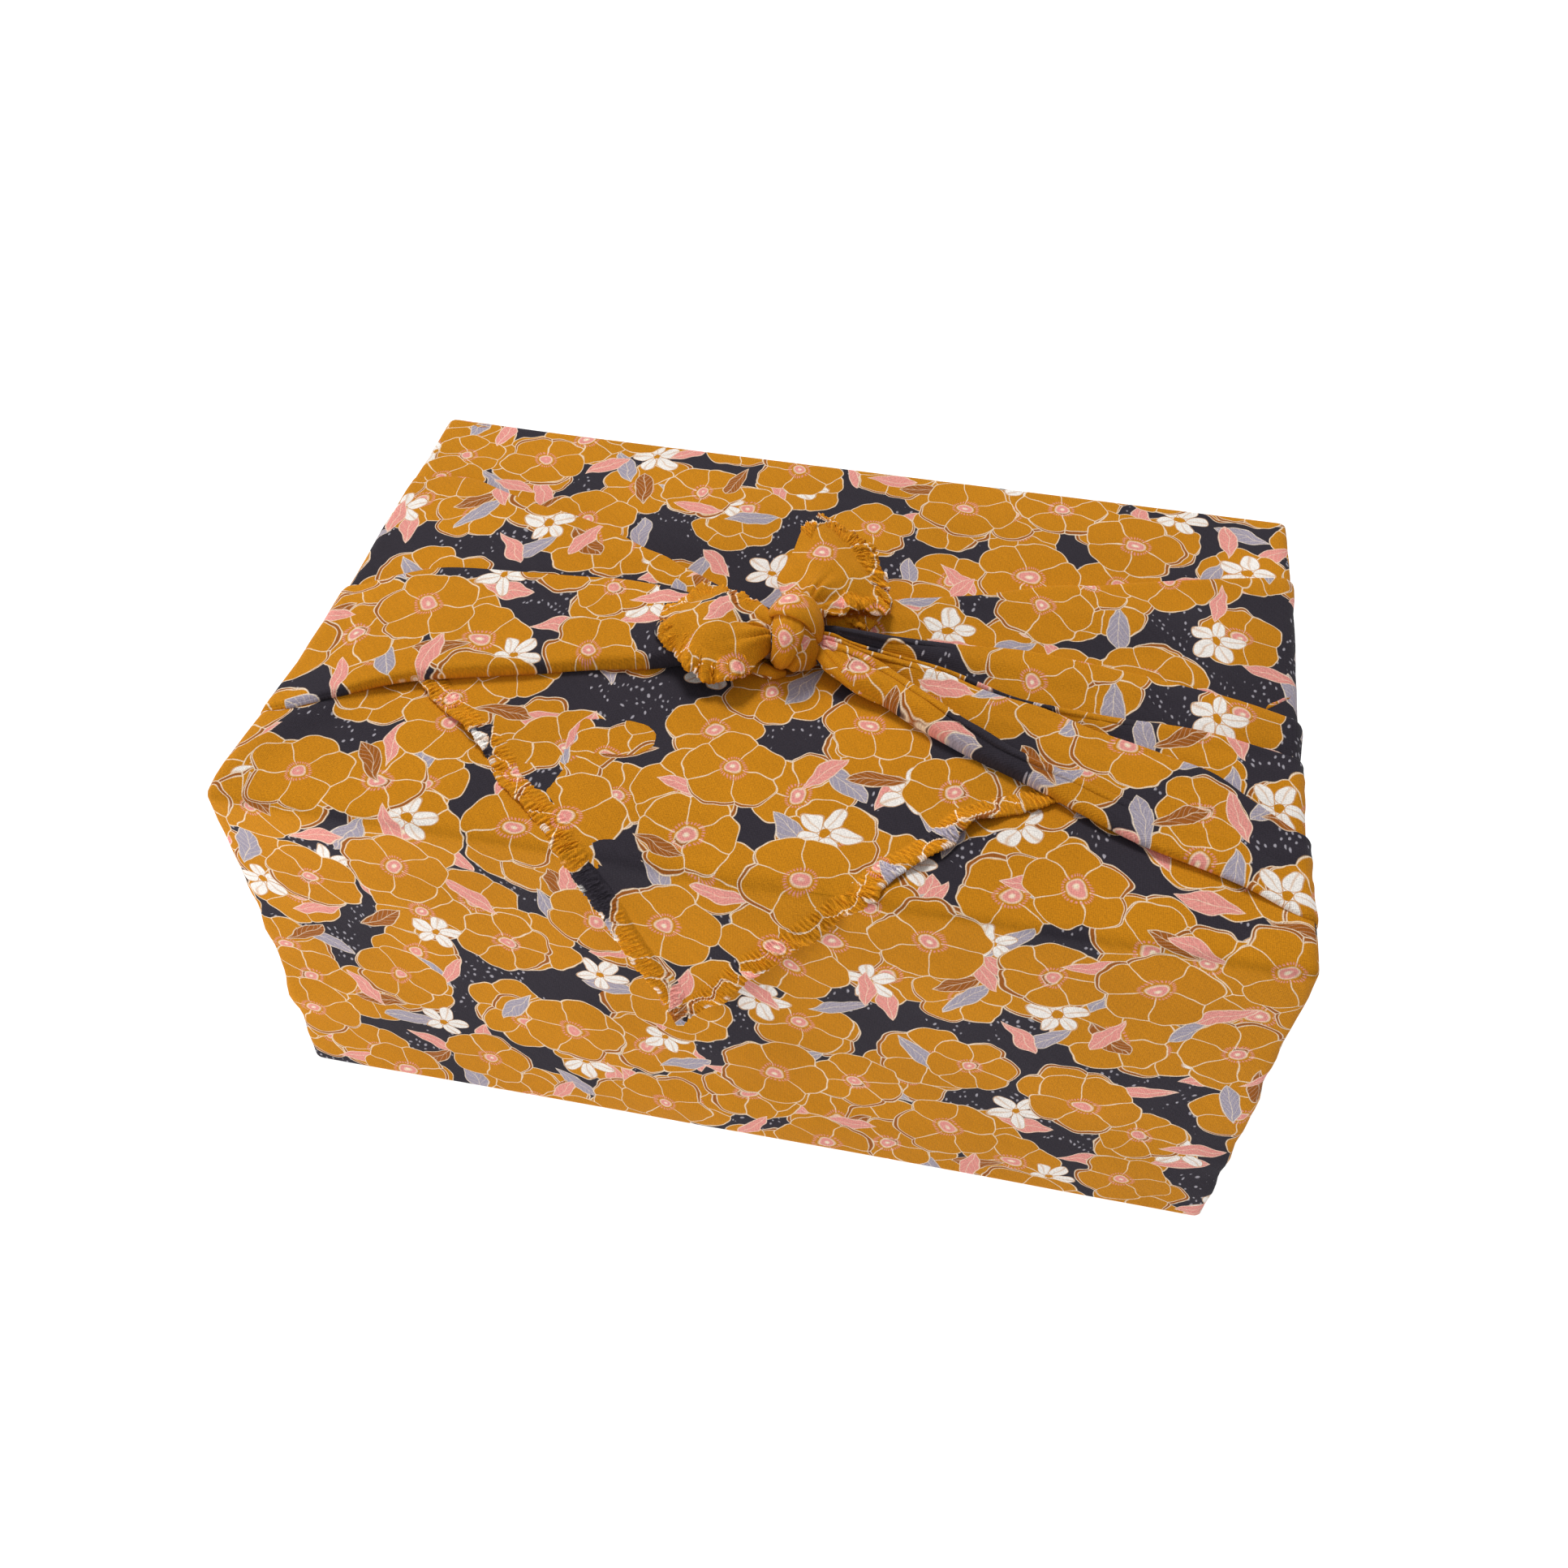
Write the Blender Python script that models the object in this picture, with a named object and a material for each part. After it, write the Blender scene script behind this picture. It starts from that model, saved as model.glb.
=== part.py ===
"""Furoshiki wrap: one square of cloth folded and knotted round a box-shaped space.

Real size, metres, +Z up.  The wrap stands on Z = 0, its long side runs along X
and its open flap hangs down the front, which faces -Y.  The cloth is one piece:

  shell       the cloth under the parcel and up its four walls, and the hidden
              front corner of the square that lies across the top
  flap        the back corner of the square, brought over the top and left
              hanging on the front wall, with its point down
  left/right  the two side corners, each a pleated band that climbs its end wall,
              crosses the top and narrows into the knot
  knot        the wraps where the two bands are tied
  ears        the two free ends of the tie, left and back

Inside, the cloth is empty.  The gap under the flap leads to two open triangles
beside the hidden corner of the square, and so into the hollow.

Lengths in the tables below are millimetres.
"""
import bpy
import bmesh
from math import sin, cos, exp, pi, radians
from mathutils import Vector

for _old in list(bpy.data.objects):
    bpy.data.objects.remove(_old, do_unlink=True)

MM = 0.001

# ---- driving sizes (mm) -------------------------------------------------------
LENGTH = 300.0        # parcel along X
WIDTH = 190.0         # parcel along Y
HEIGHT = 136.0        # parcel along Z, to the cloth's top face
CLOTH = 2.0           # modelled thickness of the cloth shell
EDGE_R = 3.0          # cloth bending over a top or bottom edge
CORNER_R = 4.5        # cloth bending round an upright corner
GAP = 0.6             # air between the flap and the cloth under it
FLAP_T = 1.4          # modelled thickness of the flap
FLAP_STANDOFF = 6.0   # the hanging point stands this far off the wall
BAND_EMBED = 0.8      # how far a band's underside runs inside its neighbour
ORIGIN_X = 0.68       # these two move the bounding box's middle to X = 0, Y = 0
ORIGIN_Y = 3.65

HL, HW, H = LENGTH / 2.0, WIDTH / 2.0, HEIGHT

# share of the height and inset (mm): the walls aren't quite straight
WALL_SLACK = ((0.08, 0.1), (0.22, 0.45), (0.38, 0.2), (0.55, 0.5), (0.72, 0.15), (0.88, 0.3))
# the soft ridge where the cloth is drawn from the front left corner to the band
CREASE = [
    # x,      y,     half width, height
    (-147.0, -92.5, 2.0, 0.2),
    (-143.5, -81.0, 3.6, 1.1),
    (-139.5, -68.0, 3.4, 1.4),
    (-133.0, -57.0, 3.0, 1.5),
    (-127.0, -48.0, 2.4, 1.3),
]

# ---- flap: outline against the distance along the cloth ------------------
# y        place along the top, from the back edge to the front edge
# left     the flap's left border there
# right    its right border there
FLAP_TOP = [
    # y,     left,   right
    (90.0, -146.5, 146.5),
    (60.0, -146.5, 146.5),
    (30.0, -146.5, 146.5),
    (8.0, -146.5, 146.5),
    (-8.0, -143.0, 136.0),
    (-24.0, -127.0, 118.0),
    (-41.0, -109.5, 95.5),
    (-50.0, -97.5, 83.0),
    (-57.0, -88.5, 66.5),
    (-66.0, -80.0, 57.5),
    (-75.0, -71.5, 50.0),
    (-83.0, -61.5, 43.5),
    (-91.0, -53.0, 38.0),
]
# drop     distance down the front wall
FLAP_FRONT = [
    # drop, left,  right
    (3.0, -46.5, 33.5),
    (12.0, -42.0, 25.5),
    (22.0, -37.0, 15.5),
    (31.0, -32.0, 8.5),
    (41.0, -27.0, 1.5),
    (50.0, -22.0, -6.0),
    (57.0, -18.5, -11.0),
    (62.0, -16.2, -13.8),
]

# ---- bands: where the folds run ----------------------------------------------
# x        distance from the knot's middle, outwards
# y...     the fold lines from the front border to the back border
# ridge    height above the parcel's top of each panel's back border, front panel
#          first; behind it the next panel starts lower by the step
# step     how far a folded border stands above the cloth it lies on
BAND_LEFT = [
    # x,    front, mid,   back,  ridge,      step
    (3.0, (-13.0, -7.6, 2.6), (10.2, 9.2), 1.8),
    (10.0, (-13.6, -6.0, 4.4), (10.6, 9.2), 2.2),
    (18.0, (-15.4, -3.6, 7.0), (10.8, 8.8), 2.4),
    (30.0, (-18.8, 2.0, 13.2), (10.0, 8.0), 2.4),
    (42.0, (-22.3, 6.6, 20.4), (8.8, 6.6), 2.2),
    (56.0, (-25.4, 9.2, 29.2), (7.4, 5.2), 2.0),
    (73.0, (-30.6, 8.6, 37.0), (6.3, 4.7), 1.8),
    (90.0, (-35.6, 7.8, 42.6), (5.7, 4.3), 1.7),
    (110.0, (-42.2, 7.0, 49.8), (5.0, 3.9), 1.6),
    (128.0, (-51.5, 4.0, 56.2), (4.0, 3.2), 1.3),
    (141.0, (-58.0, -1.6, 57.4), (2.9, 2.5), 1.0),
]
BAND_RIGHT = [
    # x,   front, roll,  fourth, third, second, back,   ridge,     step
    (4.0, (-10.8, -8.8, -7.1, -5.5, -3.1, 4.4), (9.6, 9.4, 9.8, 10.2, 9.4), 1.2),
    (10.0, (-13.3, -9.6, -7.8, -6.0, -2.6, 7.1), (9.7, 9.3, 9.8, 10.2, 9.3), 1.5),
    (20.0, (-21.4, -12.4, -9.4, -7.2, -2.4, 13.4), (10.0, 8.8, 9.3, 10.0, 8.7), 1.9),
    (27.0, (-23.6, -15.4, -10.4, -7.9, -2.6, 17.6), (9.8, 8.1, 8.8, 9.5, 8.2), 2.0),
    (38.0, (-29.8, -21.4, -12.0, -9.4, -1.0, 22.2), (9.2, 7.3, 7.9, 8.5, 7.2), 2.1),
    (54.0, (-38.0, -31.6, -15.4, -12.6, 1.2, 29.4), (8.0, 5.8, 6.4, 6.9, 5.7), 2.0),
    (70.0, (-45.4, -39.6, -19.0, -16.0, 2.5, 35.4), (6.9, 5.2, 5.6, 6.0, 4.9), 1.8),
    (88.0, (-54.4, -46.6, -23.6, -17.8, 2.6, 42.2), (5.9, 5.1, 5.1, 5.4, 4.5), 1.4),
    (108.0, (-62.8, -52.0, -29.6, -17.4, 1.2, 49.0), (5.1, 4.8, 4.7, 4.8, 4.1), 1.2),
    (126.0, (-69.0, -57.4, -36.0, -18.2, -1.2, 54.8), (4.2, 4.1, 4.0, 4.1, 3.5), 1.0),
    (141.0, (-74.4, -61.2, -46.0, -20.4, -3.8, 60.0), (2.9, 2.9, 2.9, 2.9, 2.5), 0.8),
]
# the same fold lines at the foot of each end wall, in the same order
FOOT_LEFT = (-88.0, -8.0, 88.0)
FOOT_RIGHT = (-90.0, -76.0, -50.0, -22.0, 6.0, 89.0)
WALL_H = 1.4          # the band's height off the end wall at its top ...
FOOT_H = 0.9          # ... and near the floor
WALL_STEP = 0.6       # the fold lines' step on the end wall

# ---- knot ------------------------------------------------------------------------
# the knot's body is an egg: x, y, z of its middle, z above the parcel's top, then
# its half sizes; the core inside is smaller by KNOT_CORE
EGG = (-1.8, -6.2, 9.6, 8.4, 12.8, 10.4)
KNOT_CORE = 1.0
# the wraps over it, end to end: a point of each long border, both as places
# outside the egg, then how far each of the two borders stands off the egg
HOOD = [
    ((-9.2, -6.8, 5.0), (-8.0, 2.2, 4.0), -2.2, -2.2),
    ((-9.8, -7.0, 11.0), (-8.6, 3.2, 10.0), 0.1, 0.0),
    ((-9.2, -7.2, 15.8), (-7.6, 3.8, 14.2), 0.7, 0.2),
    ((-6.6, -9.0, 18.8), (-5.4, 4.6, 16.2), 0.85, 0.3),
    ((-4.2, -10.0, 19.8), (-3.0, 4.8, 16.8), 0.9, 0.3),
    ((-1.0, -10.8, 20.0), (-0.4, 4.4, 16.8), 0.95, 0.3),
    ((1.3, -11.1, 19.2), (1.8, 3.2, 16.2), 1.0, 0.3),
    ((3.2, -11.4, 17.8), (3.8, 1.2, 15.0), 1.05, 0.3),
    ((5.2, -11.4, 15.0), (5.8, -2.4, 12.6), 0.95, 0.3),
    ((6.3, -10.6, 11.4), (6.6, -4.4, 10.0), 0.4, 0.1),
    ((6.4, -9.2, 7.6), (6.5, -5.4, 6.6), -2.2, -2.2),
]
WRAP_LEFT = [
    ((-8.6, -2.6, 17.0), (2.2, -4.6, 20.0), -2.4, -2.4),
    ((-9.5, -6.0, 16.0), (3.0, -9.4, 18.8), -1.2, -1.0),
    ((-9.3, -10.4, 15.9), (3.3, -12.6, 17.2), -0.8, -0.4),
    ((-8.5, -13.3, 15.2), (3.0, -14.7, 16.1), -0.6, 0.1),
    ((-7.6, -16.2, 13.0), (2.3, -17.0, 14.0), -0.5, 0.25),
    ((-7.5, -17.3, 9.5), (1.0, -18.9, 11.0), -0.3, 0.3),
    ((-8.0, -16.4, 5.6), (-0.8, -19.3, 7.4), 0.1, 0.3),
    ((-7.8, -15.6, 3.2), (-3.0, -17.8, 3.8), 0.2, 0.1),
    ((-5.6, -13.0, 1.4), (-3.4, -13.4, 0.8), -1.6, -1.6),
]
WRAP_RIGHT = [
    ((-0.5, -7.0, 20.0), (4.6, -7.4, 17.6), -2.4, -2.4),
    ((0.5, -12.6, 18.4), (5.5, -10.6, 15.2), -1.9, -0.6),
    ((0.2, -16.0, 15.6), (6.7, -10.8, 11.6), -1.9, 0.0),
    ((-0.8, -18.2, 12.8), (7.1, -11.0, 8.4), -1.9, 1.0),
    ((-2.6, -19.2, 8.8), (7.0, -12.2, 5.4), -1.8, 1.9),
    ((-4.2, -17.8, 4.2), (6.4, -13.8, 2.6), -1.6, 2.1),
    ((-3.4, -13.4, 0.8), (4.0, -11.6, 0.4), -1.8, -1.0),
]
WRAP_CROWN = 0.5      # a wrap's middle stands this much above its borders
WRAP_ROOT = 3.4       # its underside runs this deep inside the egg
# the pinched fold at the knot's lower left: x, y, z above the top, radius
PINCH = [
    (-18.4, -17.6, 4.6, 1.0),
    (-14.7, -16.6, 3.8, 1.9),
    (-11.4, -16.6, 3.0, 2.3),
    (-8.4, -17.0, 2.7, 2.4),
    (-5.6, -17.3, 2.3, 2.0),
    (-2.4, -16.0, 1.8, 1.2),
]

# ---- ears: the free ends, leaf-shaped ------------------------------------------
# the outline, going round: x, y, z above the parcel's top
EAR_LEFT = [
    (-6.5, -8.5, 12.6), (-10.4, -3.6, 13.4), (-17.2, 1.6, 12.8), (-22.6, 4.4, 12.2), (-28.9, 6.7, 11.6), (-34.3, 5.4, 11.0),
    (-38.6, 0.7, 10.4), (-41.7, -4.5, 9.9), (-42.2, -10.3, 9.4), (-40.2, -16.1, 8.7), (-35.6, -21.6, 8.0), (-29.8, -26.3, 7.5),
    (-23.6, -28.2, 7.3), (-17.3, -27.8, 7.6), (-12.9, -24.4, 8.4), (-10.0, -19.6, 9.8), (-7.4, -14.2, 11.2),
]
EAR_BACK = [
    (-3.0, -0.5, 14.6), (-8.4, 6.6, 13.8), (-11.0, 13.2, 13.7), (-9.6, 19.6, 14.5), (-8.3, 26.5, 15.2), (-7.9, 33.8, 15.5),
    (-6.8, 40.2, 15.8), (-3.6, 44.0, 16.2), (0.9, 42.8, 16.2), (7.7, 37.2, 15.7), (13.7, 32.9, 15.3), (18.2, 26.6, 14.8),
    (21.7, 19.9, 14.0), (23.9, 12.6, 13.0), (23.4, 6.4, 12.2), (19.0, 3.9, 12.2), (13.6, 2.6, 13.2), (8.6, -1.8, 14.2), (3.0, -4.4, 15.0),
]
# the corner of the back ear that curls out below it
EAR_UNDER = [
    (6.4, 4.4, 7.6), (7.4, 1.6, 7.4), (10.8, 0.8, 7.4), (15.8, 1.0, 7.4), (19.6, 1.8, 7.6), (21.6, 6.0, 8.2), (21.2, 10.6, 9.0),
    (17.3, 13.4, 9.6), (12.6, 11.6, 9.4), (8.6, 8.0, 8.4),
]
# the middle of each, puffed up above its outline
EAR_MIDDLE = {
    "left": (-25.5, -9.5, 15.8),
    "back": (5.0, 20.5, 17.6),
    "under": (15.0, 6.6, 9.4),
}
EAR_T = 2.0           # modelled thickness of an ear
RUFFLE = 0.4          # its stitched border waves up and down this much


# ---- small helpers --------------------------------------------------------------
def mix(a, b, t):
    return a + (b - a) * t


def smooth(t):
    t = min(1.0, max(0.0, t))
    return t * t * (3.0 - 2.0 * t)


def slack(x, y, z):
    """The cloth stands a little proud at the front left and along the foot of the front."""
    corner = exp(-(((x + HL) ** 2 + (y + HW) ** 2) / 48.0 ** 2))
    other = exp(-(((x - HL) ** 2 + (y + HW) ** 2) / 26.0 ** 2)) * smooth((z - 40.0) / 60.0)
    foot = exp(-((x + 135.0) / 150.0) ** 2) * smooth((85.0 - z) / 85.0) * smooth((-55.0 - y) / 40.0)
    return x - 2.5 * corner + 1.2 * other, y - 0.8 * corner - 2.3 * foot, z


def new_object(name, verts, faces):
    """A mesh object from points in millimetres, faces turned outwards."""
    mesh = bpy.data.meshes.new(name)
    moved = [slack(*p) for p in verts]
    mesh.from_pydata([((x + ORIGIN_X) * MM, (y + ORIGIN_Y) * MM, z * MM) for x, y, z in moved], [], faces)
    bm = bmesh.new()
    bm.from_mesh(mesh)
    bmesh.ops.triangulate(bm, faces=bm.faces[:])
    bmesh.ops.recalc_face_normals(bm, faces=bm.faces[:])
    if bm.calc_volume(signed=True) < 0.0:
        bmesh.ops.reverse_faces(bm, faces=bm.faces[:])
    bm.to_mesh(mesh)
    bm.free()
    obj = bpy.data.objects.new(name, mesh)
    bpy.context.scene.collection.objects.link(obj)
    return obj


def loft(name, rings, sheet=False):
    """A closed solid through equal closed rings of points, with closed ends.

    The end of a sheet is a row of small faces from its upper to its lower side."""
    n = len(rings[0])
    verts = [p for ring in rings for p in ring]
    faces = []
    for i in range(len(rings) - 1):
        for j in range(n):
            k = (j + 1) % n
            faces.append((i * n + j, i * n + k, (i + 1) * n + k, (i + 1) * n + j))
    for base in (0, len(verts) - n):
        if sheet:
            for j in range(n // 2 - 1):
                faces.append((base + j, base + j + 1, base + n - 2 - j, base + n - 1 - j))
        else:
            faces.append(tuple(range(base, base + n)))
    return new_object(name, verts, faces)


def sheet_ring(upper, lower):
    """The closed ring round one cross-section of a sheet."""
    return list(upper) + list(reversed(lower))


def rounded_ring(hx, hy, radius, z, inset, per_corner=5, along=(9, 7)):
    """A rounded rectangle at height z, drawn in by inset."""
    hx, hy = hx - inset, hy - inset
    r = max(0.8, radius - 0.5 * inset)
    ring = []
    for sx, sy, start in ((1, 1, 0.0), (-1, 1, 0.5 * pi), (-1, -1, pi), (1, -1, 1.5 * pi)):
        cx, cy = sx * (hx - r), sy * (hy - r)
        for i in range(per_corner):
            a = start + 0.5 * pi * i / (per_corner - 1)
            ring.append((cx + r * cos(a), cy + r * sin(a), z))
        # points along the straight side that follows this corner
        nxt = {(1, 1): (-1, 1), (-1, 1): (-1, -1), (-1, -1): (1, -1), (1, -1): (1, 1)}[(sx, sy)]
        a = start + 0.5 * pi
        p = ring[-1]
        q = (nxt[0] * (hx - r) + r * cos(a), nxt[1] * (hy - r) + r * sin(a), z)
        count = along[0] if sx != nxt[0] else along[1]
        for i in range(1, count):
            t = i / count
            ring.append((mix(p[0], q[0], t), mix(p[1], q[1], t), z))
    return ring


def box_loft(name, hx, hy, radius, z0, z1, edge, slack=((0.25, 0.0), (0.5, 0.0), (0.75, 0.0))):
    """A rounded box between two heights, its top and bottom edges eased.

    slack gives (share of the height, inset): where the cloth draws in a little."""
    eased = ((0.0, 1.0), (0.12, 0.52), (0.42, 0.16), (1.0, 0.0))
    levels = [(z0 + edge * t, edge * f) for t, f in eased]
    levels += [(mix(z0 + edge, z1 - edge, t), w) for t, w in slack]
    levels += [(z1 - edge * t, edge * f) for t, f in reversed(eased)]
    return loft(name, [rounded_ring(hx, hy, radius, z, inset) for z, inset in levels])


# ---- vents ------------------------------------------------------------------------
def vent(name, side):
    """The open triangle beside the hidden corner of the square, under the flap."""
    tri = [(side * 138.0, 26.0), (side * 138.0, 84.0), (side * 82.0, 84.0)]
    return loft(name, [[(x, y, z) for x, y in tri] for z in (H - 3.0 * CLOTH, H + 0.3)])


# ---- flap ---------------------------------------------------------------------------
def flap():
    cols = 18
    rings = []

    def row(left, right, place):
        """place(x, e) gives the lower and the upper point; e is 0 at a side border, 1 inside."""
        lower, upper = [], []
        for i in range(cols + 1):
            t = i / cols
            x = mix(left, right, t)
            near = min(x + (HL - 1.0), (HL - 1.0) - x)
            lo, hi = place(x, smooth(near / 7.0))
            lower.append(lo)
            upper.append(hi)
        return sheet_ring(upper, lower)

    # over the back edge: starts inside the back wall
    for angle, out in ((0.0, 0.0), (30.0, 0.5), (60.0, 0.9)):
        a = radians(angle)

        def back(x, e, a=a, out=out):
            cy, cz = HW - EDGE_R, H - EDGE_R
            r0 = EDGE_R - 1.0 + (1.0 + GAP) * out * e * 0.6
            r1 = EDGE_R + 0.7 + (GAP + FLAP_T - 0.7) * out * e
            return ((x, cy + r0 * cos(a), cz + r0 * sin(a)), (x, cy + r1 * cos(a), cz + r1 * sin(a)))

        rings.append(row(-146.5, 146.5, back))
    # across the top; near an end edge it bends down into the shell
    for y, left, right in FLAP_TOP:
        def top(x, e, y=y):
            return ((x, y, H + mix(-1.6, GAP, e)), (x, y, H + mix(0.3, GAP + FLAP_T, e)))

        rings.append(row(left, right, top))
    # round the front edge
    for angle in (70.0, 45.0, 20.0):
        a = radians(angle)
        r0, r1 = EDGE_R + GAP, EDGE_R + GAP + FLAP_T
        left = mix(-46.5, -50.0, angle / 90.0)
        right = mix(33.5, 36.5, angle / 90.0)

        def front(x, e, a=a, r0=r0, r1=r1):
            cy, cz = -HW + EDGE_R, H - EDGE_R
            return ((x, cy - r0 * cos(a), cz + r0 * sin(a)), (x, cy - r1 * cos(a), cz + r1 * sin(a)))

        rings.append(row(left, right, front))
    # hanging: the point swings away from the wall
    reach = FLAP_FRONT[-1][0]
    for drop, left, right in FLAP_FRONT:
        off = GAP + FLAP_STANDOFF * (drop / reach) ** 1.2

        def hang(x, e, drop=drop, off=off):
            return ((x, -HW - off, H - drop), (x, -HW - off - FLAP_T, H - drop))

        rings.append(row(left, right, hang))
    return loft("flap", rings, sheet=True)


# ---- bands ---------------------------------------------------------------------------
def pleats(folds, ridges, step, base):
    """The upper outline (y, h) of a band's cross-section, front border first.

    Each panel climbs from the cloth it leaves to the ridge along its back border;
    behind the ridge the next panel starts lower."""
    out = []
    n = len(ridges)
    for i in range(n):
        y0, y1 = folds[i], folds[i + 1]
        w = y1 - y0
        top = ridges[i]
        lip = min(0.9, 0.22 * w)
        if i == 0:
            # the front border is a rounded fold
            r = min(3.2, 0.42 * w)
            out += [
                (y0, mix(base, top, 0.16)),
                (y0 + 0.12 * r, mix(base, top, 0.56)),
                (y0 + 0.45 * r, mix(base, top, 0.86)),
                (y0 + r, top - 0.12 * step),
                (mix(y0 + r, y1 - 1.6 * lip, 0.5), top - 0.22 * step),
            ]
        else:
            low = max(base + 0.5, min(top, ridges[i - 1]) - step)
            out += [
                (y0 + 0.5 * lip, low),
                (y0 + 0.30 * w, mix(low, top, 0.42)),
                (y0 + 0.64 * w, mix(low, top, 0.80)),
            ]
        if i < n - 1:
            out += [(y1 - 1.6 * lip, top - 0.05 * step), (y1 - 0.4 * lip, top)]
        else:
            out += [(y1 - 1.8 * lip, top), (y1 - 0.6 * lip, mix(base, top, 0.84)), (y1, mix(base, top, 0.3))]
    return out


def band(name, side, table, foot):
    """A pleated band from the knot to the foot of its end wall."""
    rings = []
    x_last, last, last_ridge, last_step = table[-1]

    def ring(point, normal, folds, ridges, step, base):
        outline = pleats(folds, ridges, step, base)
        upper = [(point[0] + normal[0] * h, y, point[1] + normal[1] * h) for y, h in outline]
        lower = [(point[0] + normal[0] * base, y, point[1] + normal[1] * base) for y, h in outline]
        return sheet_ring(upper, lower)

    seat = GAP + FLAP_T - BAND_EMBED
    for x, folds, ridges, step in table:
        # near the end edge the band's underside runs into the shell
        base = mix(seat, -0.6, smooth((x - 120.0) / 20.0))
        # close to the knot the band lifts off and becomes a rope
        base += 2.2 * (1.0 - smooth((x - 10.0) / 34.0))
        rings.append(ring((side * x, H), (0.0, 1.0), folds, ridges, step, base))
    # over the end edge
    for angle in (90.0, 65.0, 40.0, 15.0):
        a = radians(angle)
        point = (side * (HL - EDGE_R + EDGE_R * cos(a)), H - EDGE_R + EDGE_R * sin(a))
        normal = (side * cos(a), sin(a))
        t = (90.0 - angle) / 90.0
        ridges = [mix(h, WALL_H, smooth(t)) for h in last_ridge]
        folds = [mix(p, mix(p, q, 0.06), t) for p, q in zip(last, foot)]
        rings.append(ring(point, normal, folds, ridges, mix(last_step, WALL_STEP, t), -BAND_EMBED))
    # down the end wall, spreading to its foot
    for t in (0.08, 0.25, 0.45, 0.65, 0.82, 0.94, 1.0):
        z = mix(H - EDGE_R, 2.2, t)
        folds = [mix(p, q, mix(0.06, 1.0, t)) for p, q in zip(last, foot)]
        h = mix(WALL_H, FOOT_H, t) if t < 0.99 else 0.2
        step = WALL_STEP * (1.0 - t) + 0.1
        rings.append(ring((side * HL, z), (side, 0.0), folds, [h] * len(last_ridge), step, -BAND_EMBED))
    return loft(name, rings, sheet=True)


# ---- knot and ears -----------------------------------------------------------------
def egg(name, smaller):
    """The body of cloth inside the knot's wraps."""
    x, y, z, a, b, c = EGG
    a, b, c = a - smaller, b - smaller, c - smaller
    steps, around = 9, 16
    rings = []
    for i in range(1, steps):
        u = pi * i / steps
        rings.append([(x + a * sin(u) * cos(2.0 * pi * j / around),
                       y + b * cos(u),
                       H + z + c * sin(u) * sin(2.0 * pi * j / around)) for j in range(around)])
    return loft(name, rings)


def on_egg(p):
    """The place on the egg towards p, and the egg's outward direction there."""
    x, y, z, a, b, c = EGG
    v = Vector(((p[0] - x) / a, (p[1] - y) / b, (p[2] - z) / c)).normalized()
    return Vector((x + a * v.x, y + b * v.y, H + z + c * v.z)), Vector((v.x / a, v.y / b, v.z / c)).normalized()


def wrap(name, rows):
    """A band of cloth drawn over the egg between its two long borders."""
    rings = []
    for front, rear, lift_f, lift_r in rows:
        upper, lower = [], []
        for v in (-1.0, -0.94, -0.7, -0.35, 0.0, 0.35, 0.7, 0.94, 1.0):
            t = 0.5 + 0.5 * v
            place, out = on_egg(Vector(front).lerp(Vector(rear), t))
            lift = mix(lift_f, lift_r, t) + (WRAP_CROWN * (1.0 - v ** 4) if abs(v) < 1.0 else -0.3)
            upper.append(tuple(place + out * lift))
            lower.append(tuple(place - out * WRAP_ROOT))
        rings.append(sheet_ring(upper, lower))
    return loft(name, rings, sheet=True)


def roll(name, rows):
    """A small rounded fold of cloth."""
    rings = []
    for i, (x, y, z, r) in enumerate(rows):
        a, b = rows[max(0, i - 1)], rows[min(len(rows) - 1, i + 1)]
        d = Vector((b[0] - a[0], b[1] - a[1], b[2] - a[2])).normalized()
        s = d.cross(Vector((0.0, 0.0, 1.0))).normalized()
        u = s.cross(d)
        ring = []
        for j in range(10):
            v = 2.0 * pi * j / 10
            ring.append(tuple(Vector((x, y, H + z)) + s * (r * cos(v)) + u * (0.85 * r * sin(v))))
        rings.append(ring)
    return loft(name, rings)


def ear(name, outline, middle):
    """A puffed leaf of cloth: rings from its middle out to its border and back below."""
    n = len(outline)
    rim = []
    for i in range(n):
        # a row's own point, then one halfway to the next on a soft curve
        a, b, c, d = (outline[(i + k) % n] for k in (-1, 0, 1, 2))
        rim.append(b)
        rim.append(tuple((9.0 * (q + r) - p - s) / 16.0 for p, q, r, s in zip(a, b, c, d)))

    def ring(share, drop):
        out = []
        for k, (x, y, z) in enumerate(rim):
            lift = mix(middle[2], z, share ** 2.1) + RUFFLE * share ** 8 * (1.0 if k % 2 else -0.4)
            out.append((mix(middle[0], x, share), mix(middle[1], y, share), H + lift - drop))
        return out

    shares = (0.14, 0.42, 0.68, 0.88, 1.0)
    return loft(name, [ring(share, 0.0) for share in shares] + [ring(share, EAR_T) for share in reversed(shares)])


def crease():
    """The soft ridge at the front left, its underside inside the shell."""
    rings = []
    for i, (x, y, half, high) in enumerate(CREASE):
        x0, y0 = CREASE[max(0, i - 1)][:2]
        x1, y1 = CREASE[min(len(CREASE) - 1, i + 1)][:2]
        d = Vector((x1 - x0, y1 - y0, 0.0)).normalized()
        s = Vector((-d.y, d.x, 0.0))
        ring = []
        for off, h in ((-1.0, -0.7), (-1.0, -0.3), (-0.5, 0.45), (0.0, 1.0), (0.5, 0.55), (1.0, -0.3), (1.0, -0.7)):
            z = H + (h * high if h > 0.0 else h)
            ring.append((x + s.x * off * half, y + s.y * off * half, z))
        rings.append(ring)
    return loft("crease", rings)


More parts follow.
